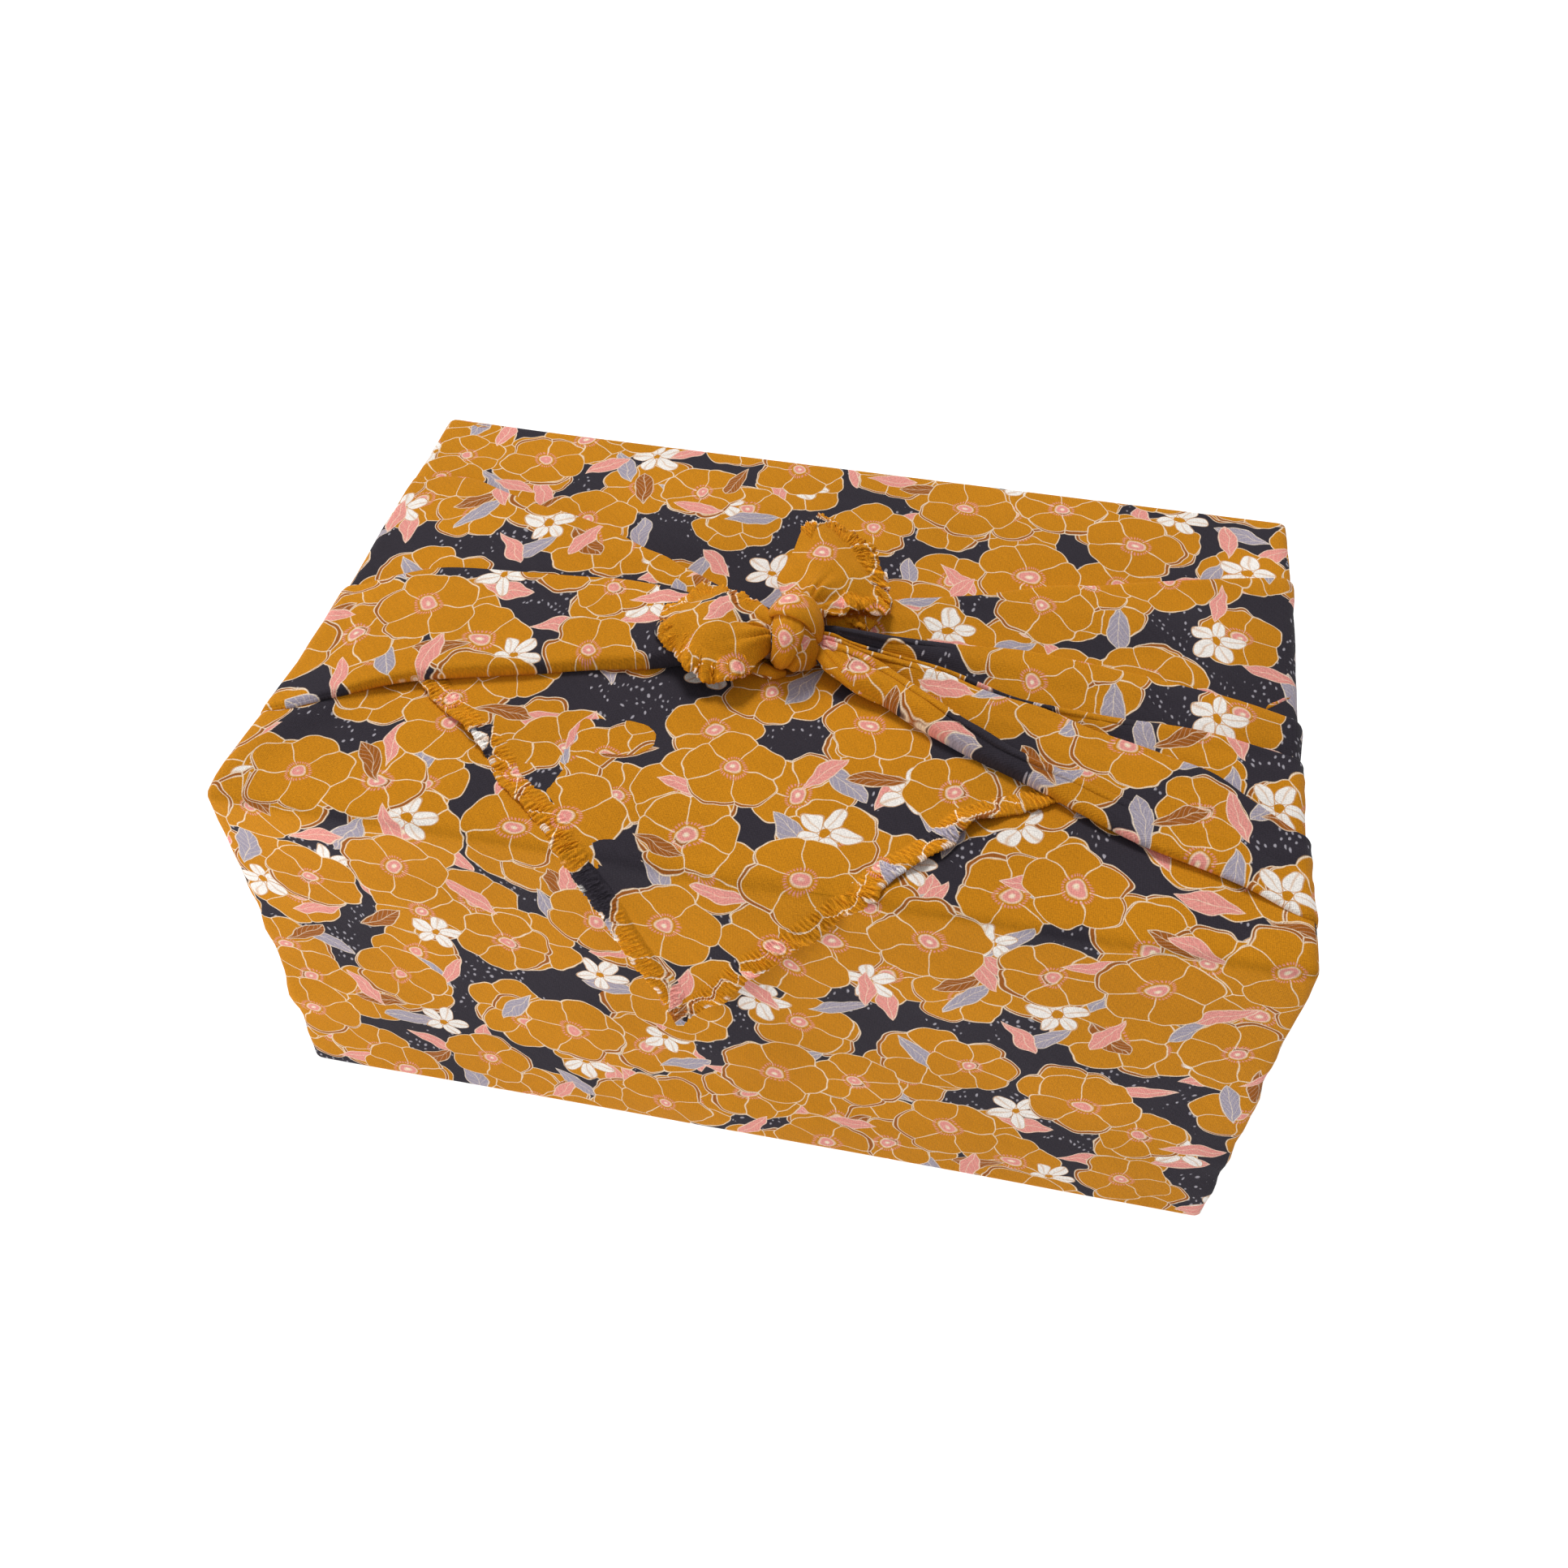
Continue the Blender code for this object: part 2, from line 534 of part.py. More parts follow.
# ---- build ------------------------------------------------------------------------------
def main():
    shell = box_loft("furoshiki_cloth", HL, HW, CORNER_R, 0.0, H, EDGE_R, WALL_SLACK)
    hollow = box_loft("hollow", HL - CLOTH, HW - CLOTH, CORNER_R - CLOTH * 0.5, CLOTH, H - CLOTH, 1.6)
    vents = [vent("vent_left", -1.0), vent("vent_right", 1.0)]
    pieces = [
        flap(),
        band("band_left", -1.0, BAND_LEFT, FOOT_LEFT),
        band("band_right", 1.0, BAND_RIGHT, FOOT_RIGHT),
        crease(),
        egg("knot_core", KNOT_CORE),
        wrap("wrap_right", WRAP_RIGHT),
        wrap("wrap_left", WRAP_LEFT),
        wrap("wrap_hood", HOOD),
        roll("pinch", PINCH),
        ear("ear_left", EAR_LEFT, EAR_MIDDLE["left"]),
        ear("ear_back", EAR_BACK, EAR_MIDDLE["back"]),
        ear("ear_under", EAR_UNDER, EAR_MIDDLE["under"]),
    ]

    def combine(other, operation):
        mod = shell.modifiers.new(other.name, 'BOOLEAN')
        mod.operation = operation
        mod.solver = 'EXACT'
        mod.object = other
        other.hide_render = True
        other.display_type = 'WIRE'

    combine(hollow, 'DIFFERENCE')
    for other in vents:
        combine(other, 'DIFFERENCE')
    for other in pieces:
        combine(other, 'UNION')

    cloth = bpy.data.materials.new("printed_cloth")
    cloth.use_nodes = True
    bsdf = cloth.node_tree.nodes["Principled BSDF"]
    bsdf.inputs["Base Color"].default_value = (0.52, 0.225, 0.018, 1.0)
    bsdf.inputs["Roughness"].default_value = 0.88
    bsdf.inputs["Metallic"].default_value = 0.0
    shell.data.materials.append(cloth)


main()
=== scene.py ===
"""Looks of the furoshiki wrap: the cloth as one draped sheet, its knot, its
overlocked border and its print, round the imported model."""
import bpy
import bmesh
import math
import numpy as np
from mathutils import Matrix, Vector
from mathutils.bvhtree import BVHTree


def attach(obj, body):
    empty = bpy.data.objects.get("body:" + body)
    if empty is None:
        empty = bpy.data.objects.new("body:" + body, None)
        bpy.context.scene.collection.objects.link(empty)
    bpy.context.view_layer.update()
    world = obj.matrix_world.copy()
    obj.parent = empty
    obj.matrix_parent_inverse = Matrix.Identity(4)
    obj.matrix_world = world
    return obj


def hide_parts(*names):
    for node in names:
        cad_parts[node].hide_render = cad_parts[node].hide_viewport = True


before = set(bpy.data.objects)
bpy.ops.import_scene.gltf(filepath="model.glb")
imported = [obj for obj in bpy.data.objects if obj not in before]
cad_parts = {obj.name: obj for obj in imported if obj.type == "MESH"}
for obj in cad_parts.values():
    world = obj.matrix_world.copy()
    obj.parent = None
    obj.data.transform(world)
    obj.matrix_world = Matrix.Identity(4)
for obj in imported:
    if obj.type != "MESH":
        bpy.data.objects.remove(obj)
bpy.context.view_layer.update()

# ---- sizes, mm (the same as the part's) ------------------------------------------
MM = 0.001
HL, HW, H = 150.0, 95.0, 136.0
EDGE = 3.2            # radius of cloth over an edge of the parcel
ORIGIN_X, ORIGIN_Y = 0.68, 3.65
THICK = 0.55          # the sheet's thickness
PRINT = 0.84          # size of the printed design, as a share of the sizes below
HEM = 6.4             # width of the overlocked border

# ======================================================================= camera
cam_data = bpy.data.cameras.new("camera")
cam = bpy.data.objects.new("camera", cam_data)
bpy.context.scene.collection.objects.link(cam)
cam_data.sensor_fit = 'HORIZONTAL'
cam_data.sensor_width = 36.0
cam_data.lens = 36.0 * 1711.0 / 1932.0
cam_data.clip_start = 0.01
right = Vector((0.97955084, 0.20112665, 0.0053122))
up = Vector((-0.15229002, 0.72392934, 0.67285515))
back = Vector((0.13148345, -0.65990482, 0.73975518))
rot = Matrix((right, up, back)).transposed().to_4x4()
cam.matrix_world = Matrix.Translation(Vector((57.33 + ORIGIN_X, -316.39 + ORIGIN_Y, 424.73)) * MM) @ rot
bpy.context.scene.camera = cam


# ======================================================================= numbers
def mix(a, b, t):
    return a + (b - a) * t


def sm(t):
    t = np.clip(t, 0.0, 1.0)
    return t * t * (3.0 - 2.0 * t)


def curve(xs, ys, x):
    """A smooth curve through (xs, ys), read at x (Hermite, tangents from neighbours)."""
    xs, ys = np.asarray(xs, float), np.asarray(ys, float)
    x = np.clip(x, xs[0], xs[-1])
    d = np.diff(ys) / np.diff(xs)
    m = np.empty_like(ys)
    m[0], m[-1] = d[0], d[-1]
    h = np.diff(xs)
    m[1:-1] = (d[:-1] * h[1:] + d[1:] * h[:-1]) / (h[1:] + h[:-1])
    i = np.clip(np.searchsorted(xs, x, side="right") - 1, 0, len(xs) - 2)
    hh = h[i]
    t = (x - xs[i]) / hh
    return ((2 * t**3 - 3 * t**2 + 1) * ys[i] + (t**3 - 2 * t**2 + t) * hh * m[i]
            + (-2 * t**3 + 3 * t**2) * ys[i + 1] + (t**3 - t**2) * hh * m[i + 1])


def ripple(u, v, wave, seed, n=8, spread=math.pi, heading=0.0):
    """Soft seeded waves of about one wavelength; spread limits their directions."""
    rng = np.random.RandomState(seed)
    out = 0.0
    for _ in range(n):
        a = heading + rng.uniform(-0.5, 0.5) * 2.0 * spread
        k = 2.0 * math.pi / wave * rng.uniform(0.65, 1.35)
        out = out + np.sin((u * math.cos(a) + v * math.sin(a)) * k + rng.uniform(0.0, 2.0 * math.pi))
    return out / math.sqrt(n / 2.0)


def wrap_point(q, h):
    """A point q on the sharp box, moved to the rounded box and out by h."""
    q = np.asarray(q, float)
    lo = np.array([-HL + EDGE, -HW + EDGE, EDGE])
    hi = np.array([HL - EDGE, HW - EDGE, H - EDGE])
    c = np.clip(q, lo, hi)
    d = q - c
    n = np.linalg.norm(d, axis=-1, keepdims=True)
    n[n == 0] = 1.0
    d = d / n
    return c + (EDGE + np.asarray(h)[..., None]) * d, d


def slack(p):
    """The cloth stands a little proud at three corners and along the foot of the
    front, and is drawn in where the bands cross the two end edges."""
    p = np.array(p)
    x, y, z = p[..., 0], p[..., 1], p[..., 2]
    corner = np.exp(-(np.hypot(x + HL, y + HW) / 48.0) ** 2)
    other = np.exp(-(np.hypot(x - HL, y + HW) / 26.0) ** 2)
    behind = np.exp(-(np.hypot(x + HL, y - HW) / 26.0) ** 2) * sm((z - 60.0) / 60.0)
    foot = sm((85.0 - z) / 85.0) * sm((-55.0 - y) / 40.0)
    left = np.exp(-((y + 22.0) / 52.0) ** 2) * sm((-112.0 - x) / 34.0) * sm((z - 40.0) / 80.0)
    right = np.exp(-((y - 2.0) / 66.0) ** 2) * sm((x - 112.0) / 34.0) * sm((z - 30.0) / 80.0)
    p[..., 0] += -2.5 * corner + 1.5 * other - 1.7 * behind + 1.1 * left - 1.3 * right
    p[..., 1] += -0.8 * corner + 0.9 * behind - (1.1 + 1.9 * np.exp(-((x + 135.0) / 150.0) ** 2)) * foot
    return p


class Patch:
    """Points in mm, faces and a UV for each face corner (mm on the flat cloth)."""

    def __init__(self):
        self.p, self.f, self.uv = [], [], []
        self.tone, self.white_tip = [], []
        self.count = 0

    def grid(self, p, uv, flip=False, tone=None, white_tip=None):
        """The last two give the painted highlight on the crests of a sewn thread with painted shade in the gaps between
        its loops, and how far a thread is turned white.
        """
        m, n = p.shape[:2]
        self.tone.append(np.zeros(m * n) if tone is None else tone.ravel())
        self.white_tip.append(np.zeros(m * n) if white_tip is None else white_tip.ravel())
        base = self.count
        self.p.append(p.reshape(-1, 3))
        self.count += m * n
        idx = np.arange(m * n).reshape(m, n)
        q = np.stack([idx[:-1, :-1], idx[1:, :-1], idx[1:, 1:], idx[:-1, 1:]], -1).reshape(-1, 4)
        if flip:
            q = q[:, ::-1]
        self.f.append(q + base)
        self.uv.append(uv.reshape(-1, 2)[q])
        return base

    def object(self, name, smooth=True):
        p = np.concatenate(self.p)
        f = np.concatenate(self.f)
        uv = np.concatenate(self.uv)
        p = (p + np.array([ORIGIN_X, ORIGIN_Y, 0.0])) * MM
        mesh = bpy.data.meshes.new(name)
        mesh.vertices.add(len(p))
        mesh.vertices.foreach_set("co", p.astype(np.float32).ravel())
        mesh.loops.add(f.size)
        mesh.loops.foreach_set("vertex_index", f.astype(np.int32).ravel())
        mesh.polygons.add(len(f))
        mesh.polygons.foreach_set("loop_start", np.arange(0, f.size, 4, dtype=np.int32))
        mesh.update(calc_edges=True)
        layer = mesh.uv_layers.new(name="cloth")
        layer.data.foreach_set("uv", (uv.reshape(-1, 2) * MM).astype(np.float32).ravel())
        for key, val in (("thread_tone", np.concatenate(self.tone)), ("thread_white_tip", np.concatenate(self.white_tip))):
            if val.any():
                mesh.attributes.new(key, 'FLOAT', 'POINT').data.foreach_set("value", val.astype(np.float32))
        if smooth:
            mesh.shade_smooth()
        mesh.validate()
        obj = bpy.data.objects.new(name, mesh)
        bpy.context.scene.collection.objects.link(obj)
        return obj


# ======================================================================= parcel
def spaced(lo, hi, step, edge):
    """Grid lines from lo to hi, closer at both ends where the cloth bends."""
    n = max(2, int(round((hi - lo - 2 * edge) / step)))
    inner = np.linspace(lo + edge, hi - edge, n + 1)
    e = edge * np.array([0.0, 0.3, 0.6])
    return np.concatenate([lo + e, inner, (hi - e)[::-1]])


# the soft ridge drawn from the front left corner to the band
CREASE = np.array([(-148.5, -95.0), (-146.5, -88.0), (-143.5, -81.0), (-139.5, -68.0), (-133.0, -57.0), (-122.0, -46.0)])
# the faint crease on the front wall, x and z
FRONT_CREASE = np.array([(108.0, 35.0), (112.2, 40.9), (120.9, 52.6), (130.3, 66.2), (138.8, 77.0), (147.3, 87.9)])


def line_distance(x, y, line):
    best = np.full(np.shape(x), 1e9)
    along = np.zeros(np.shape(x))
    side = np.zeros(np.shape(x))
    total = 0.0
    for (x0, y0), (x1, y1) in zip(line[:-1], line[1:]):
        dx, dy = x1 - x0, y1 - y0
        ln = math.hypot(dx, dy)
        t = np.clip(((x - x0) * dx + (y - y0) * dy) / ln**2, 0, 1)
        d = np.hypot(x - x0 - t * dx, y - y0 - t * dy)
        near = d < best
        best = np.where(near, d, best)
        along = np.where(near, total + t * ln, along)
        side = np.where(near, np.sign((x - x0) * dy - (y - y0) * dx), side)
        total += ln
    return best, along / total, side


def parcel(patch):
    step = 4.3
    xs, ys, zs = (spaced(-HL, HL, step, EDGE + 0.6), spaced(-HW, HW, step, EDGE + 0.6), spaced(0.0, H, step, EDGE + 0.6))
    faces = []
    for side in ("front", "back", "left", "right", "top", "bottom"):
        if side in ("front", "back"):
            a, b = np.meshgrid(xs, zs, indexing="ij")
            q = np.stack([a, np.full_like(a, -HW if side == "front" else HW), b], -1)
            uv = np.stack([a if side == "front" else 490.0 - a, b], -1)
            flip = side == "front"
        elif side in ("left", "right"):
            a, b = np.meshgrid(ys, zs, indexing="ij")
            q = np.stack([np.full_like(a, -HL if side == "left" else HL), a, b], -1)
            uv = np.stack([-150.0 - (a + 95.0) if side == "left" else 245.0 + a, b], -1)
            flip = side == "right"
        else:
            a, b = np.meshgrid(xs, ys, indexing="ij")
            q = np.stack([a, b, np.full_like(a, 0.0 if side == "bottom" else H)], -1)
            uv = np.stack([a, H + b + 95.0 if side == "top" else -(b + 95.0)], -1)
            flip = side == "top"
        faces.append((q, uv, not flip))
    for q, uv, flip in faces:
        p, n = wrap_point(q, np.zeros(q.shape[:2]))
        x, y, z = q[..., 0], q[..., 1], q[..., 2]
        # the cloth is drawn smoothly over the box, with slow unevenness
        slow = 0.36 * ripple(x + 1.7 * y, z + 0.6 * y, 92.0, 3) + 0.20 * ripple(x - y, z, 41.0, 5)
        # level pulls on the front and back walls
        pull = 0.12 * ripple(x + y * 1.3, z * 3.2, 120.0, 9, spread=0.5, heading=math.pi / 2)
        h = slow + pull
        # the back edge sinks a little in its middle
        h = h - 0.6 * sm((y - 60.0) / 30.0) - 1.3 * sm((y - 70.0) / 25.0) * np.exp(-((x - 5.0) / 75.0) ** 2)
        # upright corners: little puckers where the cloth turns
        near = np.exp(-((np.minimum(HL - np.abs(x), HW - np.abs(y)) + np.maximum(HL - np.abs(x), HW - np.abs(y))) / 9.0) ** 2)
        h = h + near * 0.24 * ripple(z, x * 0.02, 21.0, 12, spread=0.2) * sm(z / 12.0) * sm((H - z) / 6.0)
        d, t, s = line_distance(x, y, CREASE)
        ridge = 1.7 * np.exp(-(d / np.where(s > 0, 2.6, 5.2)) ** 2) * sm(t / 0.25) * (z > H - 2.0)
        h = h * sm(z / 6.0) * 0.9 + ridge
        d, t, s = line_distance(x, z, FRONT_CREASE)
        h = h - 0.75 * np.exp(-(d / np.where(s > 0, 8.0, 5.0)) ** 2) * sm(t / 0.35) * sm((1.06 - t) / 0.3) * (y < 3.0 - HW)
        # flat on the floor
        h = np.where(z <= 0.0, 0.0, h)
        p = p + n * h[..., None]
        p[..., 2] = np.maximum(p[..., 2], 0.0)
        patch.grid(slack(p), uv, flip)


# ======================================================================= flap
# y, left and right border on the top
FLAP_TOP = [
    (95.0, -149.0, 149.0), (60.0, -153.5, 153.5), (30.0, -153.5, 153.5), (8.0, -151.0, 150.0),
    (-8.0, -141.0, 134.0), (-24.0, -126.0, 117.0), (-38.0, -112.5, 102.0), (-46.0, -103.5, 90.5),
    (-52.0, -95.0, 80.0), (-58.0, -87.5, 68.0), (-66.0, -79.5, 58.5), (-75.0, -71.0, 51.0),
    (-84.0, -60.5, 44.0), (-92.0, -52.0, 37.8),
]
# drop, left and right border on the front wall
FLAP_FRONT = [
    (0.0, -48.8, 35.0), (6.0, -45.2, 31.0), (12.0, -42.2, 25.6), (20.0, -37.6, 17.6), (30.0, -32.4, 9.8),
    (40.0, -27.6, 2.4), (50.0, -22.4, -5.6), (57.0, -18.9, -10.6), (61.0, -17.0, -13.4), (62.6, -15.9, -14.7),
]
REACH = FLAP_FRONT[-1][0]


def flap(patch):
    fine = 1.35
    ft, ff = np.array(FLAP_TOP), np.array(FLAP_FRONT)
    # w runs along the cloth: the back wall, the top, the front wall
    back_w = np.array([-16.0, -11.0, -7.0, -4.0, -2.4, -1.2])
    top_w = np.concatenate([np.arange(0.0, 4.0, 1.3), np.arange(4.0, 96.0, 3.2), np.arange(96.0, 189.0, fine)])
    front_w = np.concatenate([[189.4, 190.0 + 0.001], 190.0 + np.arange(1.3, REACH, fine), [190.0 + REACH]])
    w = np.concatenate([back_w, top_w, front_w])
    y = np.clip(95.0 - w, -HW, HW)
    drop = np.maximum(w - 190.0, 0.0)
    rise = np.maximum(-w, 0.0)
    left = np.where(drop > 0, curve(ff[:, 0], ff[:, 1], drop), curve(-ft[:, 0], ft[:, 1], -y))
    right = np.where(drop > 0, curve(ff[:, 0], ff[:, 2], drop), curve(-ft[:, 0], ft[:, 2], -y))
    left = np.where(w < 0, -149.0 + 0.15 * rise, left)
    right = np.where(w < 0, 149.0 - 0.15 * rise, right)
    cols = 62
    tau = np.linspace(0.0, 1.0, cols + 1)
    t = mix(tau, 0.5 - 0.5 * np.cos(math.pi * tau), 0.72)
    x = left[:, None] + (right - left)[:, None] * t[None, :]
    W = np.repeat(w[:, None], cols + 1, 1)
    Y, D, RI = (np.repeat(a[:, None], cols + 1, 1) for a in (y, drop, rise))
    Z = H - D - RI
    Q = np.stack([x, Y, Z], -1)
    # beyond an end edge the flap turns down the end wall
    over = np.maximum(np.abs(x) - HL, 0.0)
    Q[..., 0] = np.clip(x, -HL, HL)
    Q[..., 2] -= over
    # distance to the free borders, measured across them
    dl, dr = x - left[:, None], right[:, None] - x
    gl, gr = np.gradient(left, w), np.gradient(right, w)
    edge_l = dl / np.sqrt(1.0 + gl**2)[:, None]
    edge_r = dr / np.sqrt(1.0 + gr**2)[:, None]
    free = sm((W - 100.0) / 14.0)
    s_l = np.cumsum(np.concatenate([[0], np.hypot(np.diff(w), np.diff(left))]))
    s_r = np.cumsum(np.concatenate([[0], np.hypot(np.diff(w), np.diff(right))]))
    # height above the cloth below
    h = 0.9 + 0.25 * ripple(x, Y - D, 60.0, 21) + 0.16 * ripple(x, Y - D, 26.0, 22)
    h = mix(0.25, h, sm((W - 2.0) / 30.0))
    h = h * sm((8.0 + W) / 9.0) - 1.2 * (1.0 - sm((8.0 + W) / 9.0))
    h = np.where(over > 0, mix(h, -0.4, sm(over / 3.0)), h)
    # long soft folds that run from the back corners towards the point
    h = h + 0.55 * np.exp(-((x + 0.62 * (Y + 100.0) - 22.0) / 7.0) ** 2) * sm((W - 120.0) / 40.0)
    # the stitched borders curl and pucker a little
    for edge, s, seed in ((edge_l, s_l, 31), (edge_r, s_r, 32)):
        S = np.repeat(s[:, None], cols + 1, 1)
        zero = S * 0.0
        curl_up = 0.75 + 0.55 * ripple(S, zero, 23.0, seed) + 0.26 * ripple(S, zero, 8.0, seed + 2)
        h = h + free * np.exp(-(edge / 4.2) ** 2) * curl_up
        # a groove at the needle line
        h = h - 0.30 * free * np.exp(-((edge - HEM) / 0.9) ** 2)
    P, N = wrap_point(Q, h)
    # the hanging part stands off the wall
    off = 5.2 * (D / REACH) ** 1.25 + 0.9 * sm(D / 18.0)
    curl = 1.3 * sm(D / 25.0) * (np.exp(-(edge_l / 9.0) ** 2) + 0.6 * np.exp(-(edge_r / 9.0) ** 2))
    P[..., 1] -= off + curl * 0.6
    # in the sheet's own plane the stitched border wanders a little
    for edge, s, sign, seed in ((edge_l, s_l, -1.0, 41), (edge_r, s_r, 1.0, 42)):
        S = np.repeat(s[:, None], cols + 1, 1)
        P[..., 0] += sign * free * np.exp(-(edge / 3.0) ** 2) * (0.30 * ripple(S, S * 0, 6.5, seed) + 0.50 * ripple(S, S * 0, 24.0, seed + 3))
    uv = np.stack([490.0 - x, H + W], -1)
    P = slack(P)
    patch.grid(P, uv, flip=False)
    k = int(np.searchsorted(w, 104.0))
    return {"P": P[k:], "uv": uv[k:], "N": N[k:]}


# ======================================================================= bands
# x from the knot; fold lines front to back; ridge heights; how deep each fold is
BAND_LEFT = [
    (3.0, (-13.0, -7.6, 2.6), (10.2, 9.2), (1.8,)),
    (10.0, (-13.6, -6.0, 4.4), (10.6, 9.2), (2.2,)),
    (18.0, (-15.4, -3.6, 7.0), (10.8, 8.8), (2.6,)),
    (30.0, (-18.8, 2.0, 13.2), (10.0, 8.0), (2.6,)),
    (42.0, (-22.3, 6.6, 20.4), (8.8, 6.6), (2.4,)),
    (56.0, (-25.4, 9.2, 29.2), (7.4, 5.2), (2.1,)),
    (73.0, (-30.6, 8.6, 37.0), (6.3, 4.7), (1.9,)),
    (90.0, (-35.6, 7.8, 42.6), (5.7, 4.3), (1.8,)),
    (110.0, (-42.2, 7.0, 49.8), (5.0, 3.9), (1.7,)),
    (128.0, (-51.5, 4.0, 56.2), (4.0, 3.2), (1.5,)),
    (147.0, (-61.0, -4.6, 57.0), (1.3, 1.1), (0.9,)),
]
BAND_RIGHT = [
    (1.0, (-8.0, -7.2, -6.4, -5.8, -3.4, 3.0), (9.6, 9.6, 9.8, 10.0, 9.4), (0.9, 0.8, 0.8, 0.9)),
    (8.0, (-11.4, -7.6, -6.6, -6.0, -2.8, 6.0), (9.6, 9.6, 10.0, 10.2, 9.4), (1.9, 1, 1.1, 1.4)),
    (15.0, (-18.0, -9.6, -7.5, -6.9, -2.2, 10.0), (10.0, 9.4, 9.8, 10.2, 9.0), (2.6, 1.2, 1.5, 1.7)),
    (20.0, (-21.4, -11.6, -8.1, -7.4, -2.4, 13.4), (10.0, 9.0, 9.4, 10.0, 8.7), (3, 1.62, 2.29, 2.43)),
    (27.0, (-23.6, -14.4, -8.9, -8.1, -2.6, 17.6), (9.8, 8.4, 8.8, 9.5, 8.2), (3.3, 1.49, 2.43, 2.43)),
    (38.0, (-29.8, -21.4, -10.6, -9.6, -1.0, 22.2), (9.2, 7.5, 7.9, 8.5, 7.2), (3.5, 1.35, 2.43, 2.29)),
    (54.0, (-38.0, -31.6, -14.4, -13.2, 1.2, 29.4), (8.0, 6.0, 6.4, 6.9, 5.7), (3.3, 1.35, 2.43, 2.16)),
    (70.0, (-45.4, -40.0, -18.2, -17.2, 2.5, 35.4), (6.9, 5.3, 5.5, 6.0, 4.9), (2.1, 1.76, 2.16, 2.03)),
    (88.0, (-54.4, -46.6, -23.6, -17.8, 2.6, 42.2), (5.9, 5.1, 5.1, 5.4, 4.5), (0.8, 2.03, 1.89, 1.89)),
    (108.0, (-62.8, -52.0, -29.6, -17.4, 1.2, 49.0), (5.1, 4.8, 4.7, 4.8, 4.1), (0.2, 2.03, 1.76, 1.62)),
    (126.0, (-69.0, -57.4, -36.0, -18.2, -1.2, 54.8), (4.2, 4.1, 4.0, 4.1, 3.5), (0.15, 1.76, 1.62, 1.22)),
    (147.0, (-76.6, -62.6, -49.6, -21.0, -4.6, 61.8), (1.4, 1.4, 1.4, 1.4, 1.1), (0.15, 1.22, 1.22, 0.68)),
]
FOOT_LEFT = (-88.0, -8.0, 88.0)
FOOT_RIGHT = (-90.0, -76.0, -50.0, -22.0, 6.0, 89.0)
WALL_H, FOOT_H = 0.7, 0.7
# cloth hidden in each fold, as a shift of the print
SKIP_LEFT, SKIP_RIGHT = (0.0, 23.0), (0.0, 0.0, -31.0, 16.0, -19.0)


def outline(folds, ridges, steps, base):
    """The cross-section (y, h, panel) of a pleated band, with its folds turned under."""
    out = []
    n = len(ridges)
    lows = [base] + [max(base + 0.35, min(ridges[i - 1:i + 1]) - steps[i - 1]) for i in range(1, n)]
    for i in range(n):
        y0, y1 = folds[i], folds[i + 1]
        w = y1 - y0
        top, low = ridges[i], lows[i]
        lip = min(0.9, 0.2 * w)
        under = min(3.0, 0.55 * w)
        if i == 0:
            r = min(2.8, 0.42 * w)
            out += [(y0 + under, base + 0.05, 0), (y0 + 0.4 * r, base + 0.05, 0), (y0 + 0.06 * r, mix(base, top, 0.16), 0),
                    (y0 + 0.02 * r, mix(base, top, 0.36), 0), (y0 + 0.26 * r, mix(base, top, 0.58), 0),
                    (y0 + 0.9 * r, mix(base, top, 0.76), 0), (mix(y0 + r, y1, 0.35), mix(base, top, 0.88), 0),
                    (mix(y0 + r, y1, 0.7), mix(base, top, 0.965), 0)]
        else:
            out += [(y0 - 0.8 * under, low - 0.05, i), (y0 - 0.2, low - 0.02, i), (y0 + 0.14 * w, mix(low, top, 0.12), i),
                    (y0 + 0.34 * w, mix(low, top, 0.44), i), (y0 + 0.56 * w, mix(low, top, 0.74), i),
                    (y0 + 0.78 * w, mix(low, top, 0.92), i)]
        if i < n - 1:
            nxt = lows[i + 1]
            out += [(y1 - 2.2 * lip, top + 0.02, i), (y1 - 0.7 * lip, top + 0.03, i), (y1, top - min(0.28, 0.4 * steps[i]), i),
                    (y1 - 0.25, mix(top, nxt, 0.45), i), (y1 - 0.5 * under, mix(top, nxt, 0.62), i)]
        else:
            out += [(y1 - 2.4 * lip, top, i), (y1 - 0.8 * lip, mix(base, top, 0.9), i), (y1 - 0.1, mix(base, top, 0.5), i),
                    (y1 - 0.3, base + 0.15, i), (y1 - 3.0, base + 0.05, i)]
    return np.array(out)


def refine(c, times):
    """More points on the outline, on a soft curve through its own points."""
    p = c[:, :2]
    pad = np.concatenate([[2 * p[0] - p[1]], p, [2 * p[-1] - p[-2]]])
    out, lab = [], []
    for i in range(1, len(pad) - 2):
        p0, p1, p2, p3 = pad[i - 1:i + 3]
        for k in range(times):
            t = k / times
            m1, m2 = 0.40 * (p2 - p0), 0.40 * (p3 - p1)
            out.append((2 * t**3 - 3 * t**2 + 1) * p1 + (t**3 - 2 * t**2 + t) * m1 + (-2 * t**3 + 3 * t**2) * p2 + (t**3 - t**2) * m2)
            lab.append(c[i - 1, 2])
    out.append(p[-1])
    lab.append(c[-1, 2])
    return np.array(out), np.array(lab)


